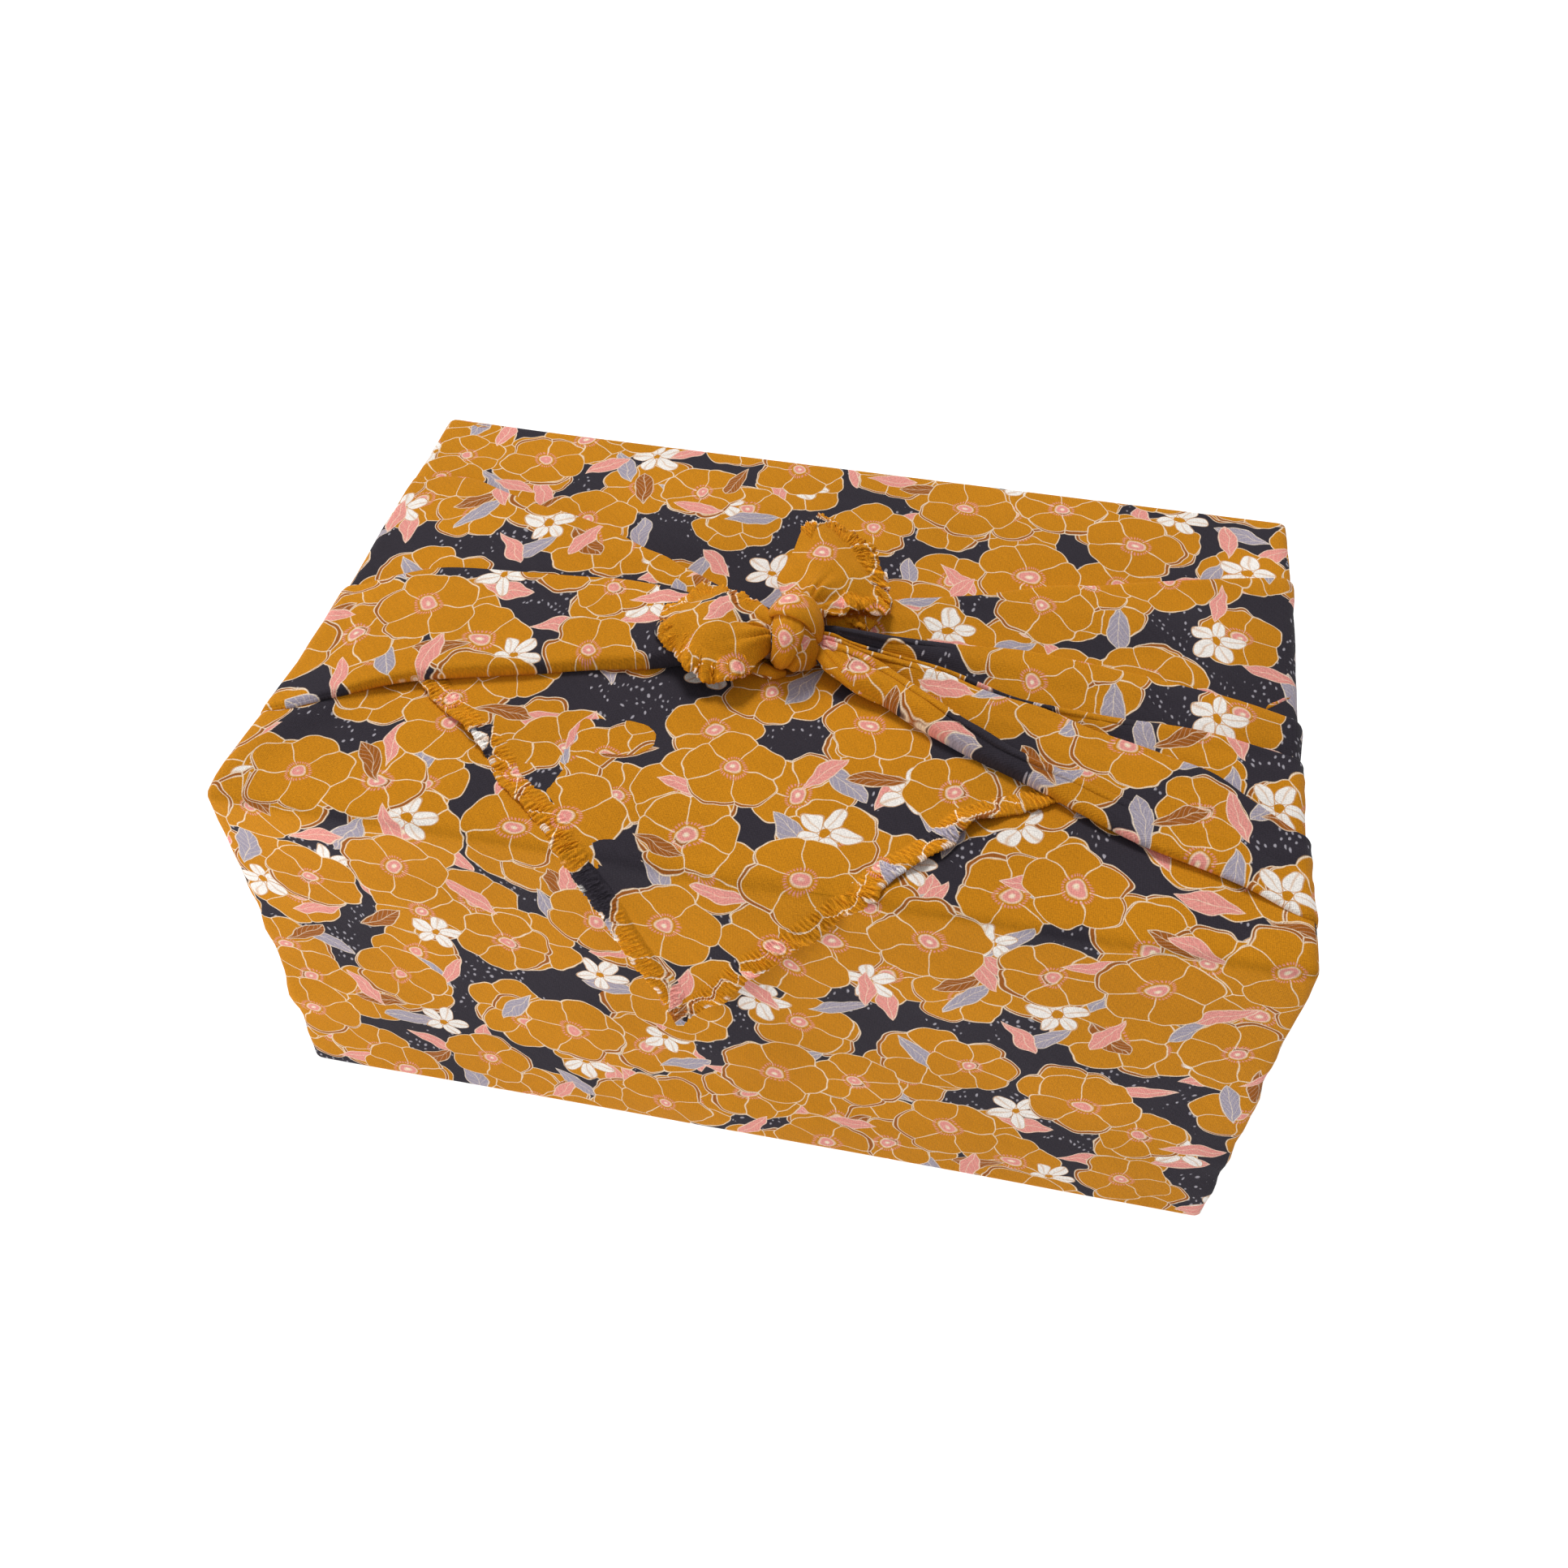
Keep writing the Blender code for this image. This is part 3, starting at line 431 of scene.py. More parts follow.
def band(patch, side, table, foot, skips, uv0, seed):
    xs = np.array([r[0] for r in table])
    folds = np.array([r[1] for r in table])
    ridges = np.array([r[2] for r in table])
    steps = np.array([r[3] for r in table])
    coarse = 1.0
    top_x = np.concatenate([np.arange(xs[0], 40.0, 1.5 * coarse), np.arange(40.0, 144.0, 2.5 * coarse), [145.0, 146.2, 147.4, 148.4, 149.4, 150.0]])
    wall_z = np.concatenate([[H - 0.8, H - 1.8, H - 3.0, H - 5.0], np.arange(H - 8.0, 4.0, -3.4 * coarse), [2.6, 1.2]])
    rows_p, rows_uv = [], []
    n_fold = folds.shape[1]
    for is_top, val in [(True, v) for v in top_x] + [(False, v) for v in wall_z]:
        if is_top:
            f = np.array([curve(xs, folds[:, j], val) for j in range(n_fold)])
            r = np.array([curve(xs, ridges[:, j], val) for j in range(n_fold - 1)])
            st = np.array([curve(xs, steps[:, j], val) for j in range(n_fold - 2)])
            base = mix(1.2, -0.5, sm((val - 132.0) / 16.0)) + 2.0 * (1.0 - sm((val - 9.0) / 36.0))
            t = max(0.0, (val - 147.0) / 3.0)
            r = mix(r, WALL_H, float(sm(t)) * 0.5)
            q0 = np.array([side * val, 0.0, H])
            path = val
            pull = 1.0
        else:
            t = (H - val) / H
            f0 = folds[-1]
            f = mix(f0, np.array(foot), t ** 0.9)
            r0 = mix(mix(ridges[-1], WALL_H, 0.5), WALL_H, sm((H - val) / 8.0))
            r = mix(r0, FOOT_H, t) * np.ones(n_fold - 1)
            r = r * (1.0 if t < 0.97 else 0.5)
            st = mix(steps[-1], 0.7, t)
            base = -0.5
            q0 = np.array([side * HL, 0.0, val])
            path = HL + H - val
            pull = 1.0 - 0.6 * t
        c = outline(f, r, st, base)
        pts, lab = refine(c, 2)
        yy, hh = pts[:, 0], pts[:, 1]
        # tension lines run along the band; tight gathers close to the knot
        lift = np.clip((hh - base) / 2.0, 0.0, 1.0)
        hh = hh + lift * pull * (0.16 * ripple(yy * 1.0, np.full_like(yy, path * 0.06), 9.0, seed, spread=0.5)
                                 + 0.30 * ripple(yy, np.full_like(yy, path * 0.30), 26.0, seed + 1))
        if is_top:
            tight = math.exp(-((val - 4.0) / 26.0) ** 2)
            half = max(4.0, 0.5 * (f[-1] - f[0]))
            s = (yy - 0.5 * (f[0] + f[-1])) / half
            hh = hh + lift * tight * (0.55 * np.sin(s * 13.0 + 0.6) + 0.3 * np.sin(s * 23.0 + 2.0))
        q = np.repeat(q0[None, :], len(yy), 0)
        q[:, 1] = yy
        # wavering of the fold lines themselves
        q[:, 1] += 0.35 * ripple(np.full_like(yy, path), lab * 40.0, 38.0, seed + 7) * (1.0 if is_top else 0.8)
        p, _ = wrap_point(q, hh)
        rows_p.append(p)
        skip = np.array([skips[int(k)] for k in lab])
        rows_uv.append(np.stack([side * path + uv0[0] + 0.0 * yy, q[:, 1] + skip + uv0[1]], -1))
    P, uv = slack(np.array(rows_p)), np.array(rows_uv)
    patch.grid(P, uv, flip=(side > 0))


# ======================================================================= knot
# the knot's body is an egg; x, y, z of its middle, then its half sizes
EGG = (-1.8, -6.2, 9.6, 8.4, 12.8, 10.4)
# wraps, end to end: a point of each long border, then how far each stands off the egg
HOOD = [
    ((-9.2, -6.8, 5.0), (-8.0, 2.2, 4.0), -0.6, -0.6),
    ((-9.8, -7.0, 11.0), (-8.6, 3.2, 10.0), 0.1, 0.0),
    ((-9.2, -7.2, 15.8), (-7.6, 3.8, 14.2), 0.7, 0.2),
    ((-6.6, -9.0, 18.8), (-5.4, 4.6, 16.2), 0.85, 0.3),
    ((-4.2, -10.0, 19.8), (-3.0, 4.8, 16.8), 0.9, 0.3),
    ((-1.0, -10.8, 20.0), (-0.4, 4.4, 16.8), 0.95, 0.3),
    ((1.3, -11.1, 19.2), (1.8, 3.2, 16.2), 1.0, 0.3),
    ((3.2, -11.4, 17.8), (3.8, 1.2, 15.0), 1.05, 0.3),
    ((5.2, -11.4, 15.0), (5.8, -2.4, 12.6), 0.95, 0.3),
    ((6.3, -10.6, 11.4), (6.6, -4.4, 10.0), 0.4, 0.1),
    ((6.4, -9.2, 7.6), (6.5, -5.4, 6.6), -0.7, -0.8),
]
WRAP_LEFT = [
    ((-8.6, -2.6, 17.0), (2.2, -4.6, 20.0), -1.8, -1.8),
    ((-9.5, -6.0, 16.0), (3.0, -9.4, 18.8), -1.2, -1.0),
    ((-9.3, -10.4, 15.9), (3.3, -12.6, 17.2), -0.8, -0.4),
    ((-8.5, -13.3, 15.2), (3.0, -14.7, 16.1), -0.6, 0.1),
    ((-7.6, -16.2, 13.0), (2.3, -17.0, 14.0), -0.5, 0.25),
    ((-7.5, -17.3, 9.5), (1.0, -18.9, 11.0), -0.3, 0.3),
    ((-8.0, -16.4, 5.6), (-0.8, -19.3, 7.4), 0.1, 0.3),
    ((-7.8, -15.6, 3.2), (-3.0, -17.8, 3.8), 0.2, 0.1),
    ((-5.6, -13.0, 1.4), (-3.4, -13.4, 0.8), -1.0, -0.9),
]
WRAP_RIGHT = [
    ((-0.5, -7.0, 20.0), (4.6, -7.4, 17.6), -2.2, -1.8),
    ((0.5, -12.6, 18.4), (5.5, -10.6, 15.2), -1.9, -0.6),
    ((0.2, -16.0, 15.6), (6.7, -10.8, 11.6), -1.9, 0.0),
    ((-0.8, -18.2, 12.8), (7.1, -11.0, 8.4), -1.9, 1.0),
    ((-2.6, -19.2, 8.8), (7.0, -12.2, 5.4), -1.8, 1.9),
    ((-4.2, -17.8, 4.2), (6.4, -13.8, 2.6), -1.6, 2.1),
    ((-3.4, -13.4, 0.8), (4.0, -11.6, 0.4), -1.8, -0.6),
]
# small rounded folds: x, y, z, radius
PINCH = [
    (-18.4, -17.6, 4.6, 1.0),
    (-14.7, -16.6, 3.8, 1.9),
    (-11.4, -16.6, 3.0, 2.3),
    (-8.4, -17.0, 2.7, 2.4),
    (-5.6, -17.3, 2.3, 2.0),
    (-2.4, -16.0, 1.8, 1.2),
]
FRONT_ROLL = [
    (4.6, -6.4, 8.0, 2.2),
    (7.4, -10.6, 6.8, 2.3),
    (10.5, -14.3, 6.2, 2.3),
    (13.8, -16.9, 5.8, 2.1),
    (16.9, -18.9, 5.2, 1.9),
    (20.2, -20.8, 4.6, 1.6),
    (24.0, -22.8, 4.0, 1.2),
    (28.5, -24.6, 3.4, 0.6),
]


def along(rows, n, place=lambda r: r[:, :3]):
    """The rows' values on a soft curve, n steps, evenly spaced along place."""
    rows = np.array(rows, float)
    d = np.concatenate([[0.0], np.cumsum(np.linalg.norm(np.diff(place(rows), axis=0), axis=1))])
    s = np.linspace(0.0, d[-1], n + 1)
    return np.stack([curve(d, rows[:, k], s) for k in range(rows.shape[1])], -1), s


def on_egg(q):
    c, r = np.array(EGG[:3]), np.array(EGG[3:])
    v = (q - c) / r
    v = v / np.linalg.norm(v, axis=-1, keepdims=True)
    n = v / r
    return c + r * v, n / np.linalg.norm(n, axis=-1, keepdims=True)


def unit(v):
    return v / np.maximum(np.linalg.norm(v, axis=-1, keepdims=True), 1e-9)


def wrap_band(patch, rows, crown, gathers, uv0, seed):
    """A band of cloth over the egg between its two long borders, each turned under."""
    n, m = ((64, 50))
    line, s = along([(*a, *b, la, lb) for a, b, la, lb in rows], n, lambda r: 0.5 * (r[:, :3] + r[:, 3:6]))
    v = np.linspace(-1.0, 1.0, m + 1)
    v = mix(v, np.sin(v * math.pi / 2), 0.65)
    cross = np.concatenate([v, 0.985 * v[::-1]])
    a = np.abs(cross)
    outer = np.arange(len(cross)) <= m
    P = np.zeros((n + 1, len(cross) + 1, 3))
    uv = np.zeros((n + 1, len(cross) + 1, 2))
    facing = 0.0
    for i in range(n + 1):
        f, r = line[i, :3], line[i, 3:6]
        t = 0.5 + 0.5 * cross
        e, en = on_egg(f + (r - f) * t[:, None])
        half = 0.5 * np.linalg.norm(r - f)
        lift = mix(line[i, 6], line[i, 7], t)
        end = 1.0 + 1.4 * (1.0 - sm(min(i, n - i) / (0.25 * n)))
        run = s[i] * 0.22
        folds = (0.55 * np.sin(cross * half * 1.5 + seed + 0.9 * math.sin(run + seed))
                 + 0.45 * np.sin(cross * half * 2.9 + 2.0 * seed + 0.5 * math.sin(1.8 * run)))
        top = lift + crown * (1.0 - a ** 4) - 0.22 * a ** 16 + gathers * end * (1.0 - a ** 4) * folds
        h = np.where(outer, top, lift - 1.7)
        P[i, :-1] = e + en * h[:, None]
        uv[i, :-1] = np.stack([uv0[0] + cross * half * 1.1, uv0[1] + s[i] + 0.0 * cross], -1)
        if i:
            k = m // 2
            facing += np.dot(np.cross(P[i, k] - P[i - 1, k], P[i, k + 1] - P[i, k]), en[k])
    P[:, -1], uv[:, -1] = P[:, 0], uv[:, 0]
    P[..., 2] += H
    patch.grid(P, uv, flip=facing < 0.0)


def fold_roll(patch, rows, uv0, seed):
    """A small rounded fold."""
    n, m = ((30, 24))
    line, s = along(rows, n)
    t = unit(np.gradient(line[:, :3], axis=0))
    side = unit(np.cross(t, np.array([0.0, 0.0, 1.0])))
    up3 = np.cross(side, t)
    v = 2.0 * math.pi * np.arange(m + 1) / m
    r = line[:, 3][:, None] * (1.0 + 0.10 * np.sin(3.0 * v[None, :] + seed + 0.25 * s[:, None]))
    P = line[:, None, :3] + (r * np.cos(v))[..., None] * side[:, None, :] + (0.85 * r * np.sin(v))[..., None] * up3[:, None, :]
    P[..., 2] += H
    uv = np.stack([uv0[0] + r * v[None, :], uv0[1] + s[:, None] + 0.0 * r], -1)
    patch.grid(P, uv, flip=False)


def egg_body(patch, shrink, uv0):
    c, r = np.array(EGG[:3]), np.array(EGG[3:]) * shrink
    u = np.linspace(0.03, math.pi - 0.03, 25)[:, None]
    v = np.linspace(0.0, 2.0 * math.pi, 33)[None, :]
    P = np.stack([c[0] + r[0] * np.sin(u) * np.cos(v), c[1] + r[1] * np.cos(u) * np.ones_like(v), H + c[2] + r[2] * np.sin(u) * np.sin(v)], -1)
    uv = np.stack([uv0[0] + r[0] * v * np.ones_like(u), uv0[1] + r[1] * u * np.ones_like(v)], -1)
    patch.grid(P, uv, flip=False)


# ======================================================================= ears
# outline: x, y, z above the top, going round
EAR_LEFT = [
    (-6.5, -8.5, 12.6), (-10.4, -3.6, 13.4), (-17.2, 1.6, 12.8), (-22.6, 4.4, 12.2), (-28.9, 6.7, 11.6), (-34.3, 5.4, 11.0),
    (-38.6, 0.7, 10.4), (-41.7, -4.5, 9.9), (-42.2, -10.3, 9.4), (-40.2, -16.1, 8.7), (-35.6, -21.6, 8.0), (-29.8, -26.3, 7.5),
    (-23.6, -28.2, 7.3), (-17.3, -27.8, 7.6), (-12.9, -24.4, 8.4), (-10.0, -19.6, 9.8), (-7.4, -14.2, 11.2),
]
EAR_BACK = [
    (-3.0, -0.5, 14.6), (-8.4, 6.6, 13.8), (-11.0, 13.2, 13.7), (-9.6, 19.6, 14.5), (-8.3, 26.5, 15.2), (-7.9, 33.8, 15.5),
    (-6.8, 40.2, 15.8), (-3.6, 44.0, 16.2), (0.9, 42.8, 16.2), (7.7, 37.2, 15.7), (13.7, 32.9, 15.3), (18.2, 26.6, 14.8),
    (21.7, 19.9, 14.0), (23.9, 12.6, 13.0), (23.4, 6.4, 12.2), (19.0, 3.9, 12.2), (13.6, 2.6, 13.2), (8.6, -1.8, 14.2), (3.0, -4.4, 15.0),
]
EAR_SMALL = [
    (7.4, 4.8, 7.8), (10.4, 2.2, 7.5), (15.8, 1.0, 7.4), (19.6, 1.8, 7.6), (21.6, 6.0, 8.2), (21.2, 10.6, 9.0), (17.3, 13.4, 9.6), (12.6, 11.6, 9.4),
]
# a soft trough across the left ear, out from the knot
EAR_TROUGH = np.array([(-7.0, -14.8), (-9.5, -17.2), (-13.5, -21.4), (-17.6, -22.6), (-24.3, -20.8), (-29.0, -17.0)])
EARS = [
    # name, outline, middle, neck, first and last outline point of the stitched border, uv offset, seed
    ("ear_left", EAR_LEFT, (-25.5, -9.5, 15.8), (-6.0, -10.5, 12.0), 1, 15, (22.9, 380.5), 61),
    ("ear_back", EAR_BACK, (5.0, 20.5, 17.6), (1.0, -1.0, 15.0), 4.8, 17, (14.9, 39.7), 71),
    ("ear_small", EAR_SMALL, (16.2, 7.0, 9.4), (9.0, 7.0, 8.0), 1, 7, (350.0, 22.0), 81),
]


def closed(points, n):
    """A soft closed curve through points, n places; also the point number at each."""
    p = np.array(points, float)
    m = len(p)
    k = np.arange(-3, m + 4)
    q = p[k % m]
    u = np.linspace(0.0, m, n, endpoint=False)
    return np.stack([curve(k.astype(float), q[:, j], u) for j in range(3)], -1), u


def ear(patch, name, outline_rows, middle, neck, first, last, uv0, seed):
    around, rings = ((190, 26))
    rim, u = closed(outline_rows, around)
    rim = np.concatenate([rim, rim[:1]])
    u = np.append(u, len(outline_rows))
    c, nk = np.array(middle), np.array(neck)
    rho = np.linspace(0.0, 1.0, rings + 1)
    rho = mix(rho, np.sin(rho * math.pi / 2), 0.45)[:, None]
    x = c[0] + (rim[:, 0] - c[0])[None, :] * rho
    y = c[1] + (rim[:, 1] - c[1])[None, :] * rho
    z = c[2] + (rim[:, 2] - c[2])[None, :] * rho ** 2.1
    size = np.hypot(rim[:, 0] - c[0], rim[:, 1] - c[1])[None, :]
    edge = size * (1.0 - rho)
    seg = np.linalg.norm(np.diff(rim[:, :2], axis=0), axis=1)
    s = np.concatenate([[0.0], np.cumsum(seg)])[None, :] + 0.0 * rho
    sewn = (sm((u - first) / 1.2) * sm((last - u) / 1.2))[None, :]
    # fine gathers that leave the neck
    dx, dy = x - nk[0], y - nk[1]
    r, a = np.hypot(dx, dy), np.arctan2(dy, dx)
    a = np.where(a < 0, a + 2 * math.pi, a) if name == "ear_left" else a
    g = np.exp(-(r / 12.5) ** 2) * sm((r - 0.5) / 3.0)
    z = z + g * (1.9 * (np.abs(np.sin(a * 5.5 + seed + 0.03 * r)) - 0.62) + 0.9 * (np.abs(np.sin(a * 9.5 + 0.7 * seed + 0.08 * r)) - 0.62))
    z = z + 1.0 * np.exp(-(r / 20.0) ** 2) * np.sin(a * 4.0 + 0.3 * seed) * sm(r / 6.0)
    if name == "ear_left":
        d, t, _ = line_distance(x, y, EAR_TROUGH)
        z = z - 1.0 * np.exp(-(d / 2.3) ** 2) * sm((1.0 - t) / 0.5)
    # soft unevenness
    z = z + 0.45 * ripple(x, y, 19.0, seed) * (1.0 - rho ** 6)
    # the stitched border curls and puckers
    b = np.exp(-(edge / 3.6) ** 2) * sewn
    wave = np.sin(2.0 * math.pi * s / 4.9 + 1.6 * ripple(s, s * 0.0, 17.0, seed + 1))
    slow = ripple(s, s * 0.0, 14.0, seed + 2)
    z = z + b * (0.34 * wave + 0.75 * slow + 0.35)
    # the bound border is thicker, with a groove at the needle line
    z = z - 0.35 * sewn * np.exp(-((edge - HEM * 0.98) / 1.0) ** 2)
    grow = b * (0.35 * ripple(s, s * 0.0, 5.2, seed + 3) + 0.55 * ripple(s, s * 0.0, 12.0, seed + 4)) / np.maximum(size, 1.0)
    x = x + (rim[:, 0] - c[0])[None, :] * grow
    y = y + (rim[:, 1] - c[1])[None, :] * grow
    # the two ends of the ring are one point
    for k in (x, y, z):
        k[:, -1] = k[:, 0]
    P = np.stack([x, y, H + z], -1)
    uv = np.stack([uv0[0] + x - c[0], uv0[1] + y - c[1]], -1)
    patch.grid(P, uv, flip=True)
    return {"P": P, "uv": uv, "sewn": sewn[0], "size": size[0]}


# ======================================================================= overlock
def resample(line, step):
    d = np.concatenate([[0], np.cumsum(np.linalg.norm(np.diff(line, axis=0), axis=1))])
    n = max(2, int(round(d[-1] / step)))
    s = np.linspace(0, d[-1], n + 1)
    return np.stack([np.interp(s, d, line[:, k]) for k in range(line.shape[1])], -1), s


def surface_tree(sheet):
    P = sheet["P"]
    m, n = P.shape[:2]
    idx = np.arange(m * n).reshape(m, n)
    q = np.stack([idx[:-1, :-1], idx[1:, :-1], idx[1:, 1:], idx[:-1, 1:]], -1).reshape(-1, 4)
    verts = [tuple(v) for v in P.reshape(-1, 3)]
    return BVHTree.FromPolygons(verts, [tuple(int(k) for k in f) for f in q])


# across the bound border: mm in from the edge, height, how much of the relief it has
BOUND = [
    (1.7, -0.62, 0.0), (0.7, -0.92, 0.0), (-0.05, -0.80, 0.1), (-0.48, -0.38, 0.3), (-0.50, 0.02, 0.5), (-0.18, 0.34, 0.7),
    (0.25, 0.48, 0.9), (0.75, 0.50, 1.0), (1.3, 0.49, 1.0), (1.85, 0.48, 1.0), (2.4, 0.47, 1.0), (2.95, 0.46, 1.0), (3.5, 0.45, 1.0),
    (4.05, 0.44, 1.0), (4.6, 0.43, 0.95), (5.1, 0.42, 0.9), (5.55, 0.42, 0.8), (5.95, 0.42, 0.6), (6.35, 0.32, 0.4), (6.75, 0.12, 0.2),
    (7.15, -0.12, 0.0), (7.6, -0.42, 0.0),
]


def overlock(patch, sheet, border, inner, seed, sign, wild):
    """The close loops of thread over the border, as one raised strip from under the
    edge to the needle line. border and inner are (n,5) lines: place, then uv."""
    tree = surface_tree(sheet)
    line, s = resample(np.concatenate([border, inner], 1), 0.40)
    across = np.array(BOUND)
    e, hgt, much = across[:, 0][None, :], across[:, 1][None, :], across[:, 2][None, :]
    S = s[:, None] + 0.0 * e
    E = e + 0.0 * S
    # the thread runs in a zigzag, out round the edge and back to the needle line
    pitch = 3.3
    drift = (0.34 + 0.22 * wild) * ripple(S, E * 0.6, 9.0, seed) + (0.12 + 0.14 * wild) * ripple(S, E, 3.2, seed + 1)
    run = (S + drift) / pitch
    e = np.clip(E / HEM, 0.0, 1.0)
    there = np.abs((run - 0.44 * e + 0.5) % 1.0 - 0.5) * pitch
    back = np.abs((run + 0.56 * e + 0.5) % 1.0 - 0.5) * pitch
    size = np.clip(1.0 + 0.30 * ripple(S, E * 0.3, 6.0, seed + 2), 0.45, 1.5)
    strand = np.maximum(np.exp(-((there / 0.50) ** 2)), 0.85 * np.exp(-((back / 0.46) ** 2)))
    knit = (0.30 + 0.15 * wild) * ripple(S, E, 1.5, seed + 3)
    relief = (0.54 + 0.16 * wild) * size * (strand - 0.45) + 0.22 * knit
    hgt = hgt + relief * much + wild * 0.16 * ripple(S, E, 5.5, seed + 4) * much
    sewn = np.minimum(1.0, 1.4 * much)
    # painted highlight on the raised crests of the thread and painted shade in the gaps between its loops, laid over
    # the real relief
    tone = sewn * (-0.06 + 0.50 * strand * np.clip(size, 0.7, 1.2) + 0.10 * knit)
    # the turns round the edge stand out from it, and a few of them are blended toward white
    turn = np.abs(np.cos(math.pi * run * 2.0))
    out = np.where(E < 0.5, 0.22 * (turn - 0.5) + 0.10 * ripple(S, E * 0.0, 2.4, seed + 5), 0.0) * (much > 0.0)
    white_tip = np.where((E < 0.9) & (much > 0.2), sm((ripple(S, E * 0.0, 13.0, seed + 6) - 0.75) / 0.5) * turn, 0.0)
    width = np.linalg.norm(line[:, 5:8] - line[:, 0:3], axis=1)[:, None]
    scale = np.minimum(1.0, width / HEM)
    t = np.clip(E * scale - out, -1.2, 12.0) / np.maximum(width, 0.5)
    flat = line[:, None, 0:3] + (line[:, 5:8] - line[:, 0:3])[:, None, :] * t[..., None]
    uv = line[:, None, 3:5] + (line[:, 8:10] - line[:, 3:5])[:, None, :] * t[..., None]
    P = np.zeros_like(flat)
    ends = sm(np.minimum(s, s[-1] - s) / 2.0)
    for i in range(flat.shape[0]):
        for j in range(flat.shape[1]):
            hit = tree.find_nearest(Vector(flat[i, j]))
            n = np.array(hit[1])
            want = sign(flat[i, j])
            n = n if np.dot(n, want) > 0 else -n
            foot = np.array(hit[0])
            beyond = flat[i, j] - foot if E[i, j] < 0.6 else 0.0
            P[i, j] = foot + beyond + n * mix(-0.5, hgt[i, j], ends[i])
    patch.grid(P, uv, flip=bool(np.dot(np.cross(P[5, 9] - P[4, 9], P[5, 10] - P[5, 9]), sign(P[5, 9])) < 0), tone=tone, white_tip=0.8 * white_tip)


def flap_overlock(patch, sheet):
    P, uv = sheet["P"], sheet["uv"]
    out = []
    for col, sgn, seed in ((0, 1.0, 101), (-1, -1.0, 102)):
        line = np.concatenate([P[:, col], uv[:, col]], 1)
        # inward direction: across the border, in the cloth
        t = np.gradient(P[:, col], axis=0)
        t /= np.maximum(np.linalg.norm(t, axis=1, keepdims=True), 1e-9)
        nb = P[:, 6 if col == 0 else -7] - P[:, col]
        nb = nb - (nb * t).sum(1, keepdims=True) * t
        nb /= np.maximum(np.linalg.norm(nb, axis=1, keepdims=True), 1e-9)
        # smooth it, so the needle line stays even
        for _ in range(12):
            nb[1:-1] = (nb[:-2] + 2 * nb[1:-1] + nb[2:]) / 4
        nb /= np.maximum(np.linalg.norm(nb, axis=1, keepdims=True), 1e-9)
        width = np.full(len(nb), HEM)
        room = 0.44 * np.linalg.norm(P[:, -1] - P[:, 0], axis=1)
        width = np.minimum(width, room)
        inn = P[:, col] + nb * width[:, None]
        dx = nb[:, 0] * width
        dw = np.where(np.abs(P[:, col, 2] - H) < 6, -nb[:, 1], -nb[:, 2]) * width
        uvin = uv[:, col] + np.stack([-dx, dw], -1)
        out.append((line[:-2], np.concatenate([inn, uvin], 1)[:-2], seed))
    for border, inner, seed in out:
        overlock(patch, sheet, border, inner, seed, lambda p: np.array([0.0, -1.0, 1.0]), 0.0)


def ear_overlock(patch, sheet, seed):
    P, uv, sewn, size = sheet["P"], sheet["uv"], sheet["sewn"], sheet["size"]
    keep = np.where(sewn > 0.25)[0]
    k = np.arange(keep[0], keep[-1] + 1)
    border, c = P[-1, k], P[0, 0]
    w = np.minimum(HEM, 0.55 * size[k])[:, None] / size[k][:, None]
    inner = border + (c - border) * w
    buv, cuv = uv[-1, k], uv[0, 0]
    iuv = buv + (cuv - buv) * w
    overlock(patch, sheet, np.concatenate([border, buv], 1), np.concatenate([inner, iuv], 1), seed, lambda p: np.array([0.0, 0.0, 1.0]), 1.0)


# ======================================================================= print
def srgb(r, g, b):
    def lin(c):
        c /= 255.0
        return c / 12.92 if c <= 0.04045 else ((c + 0.055) / 1.055) ** 2.4
    return (lin(r), lin(g), lin(b), 1.0)


INK = {
    "ground": srgb(52, 48, 56),
    "mustard": srgb(203, 133, 22),
    "mustard_deep": srgb(190, 120, 16),
    "cream": srgb(249, 230, 204),
    "pink": srgb(233, 153, 144),
    "lavender": srgb(166, 158, 174),
    "rust": srgb(160, 92, 32),
    "white": srgb(246, 241, 236),
    "dash": srgb(168, 164, 174),
}


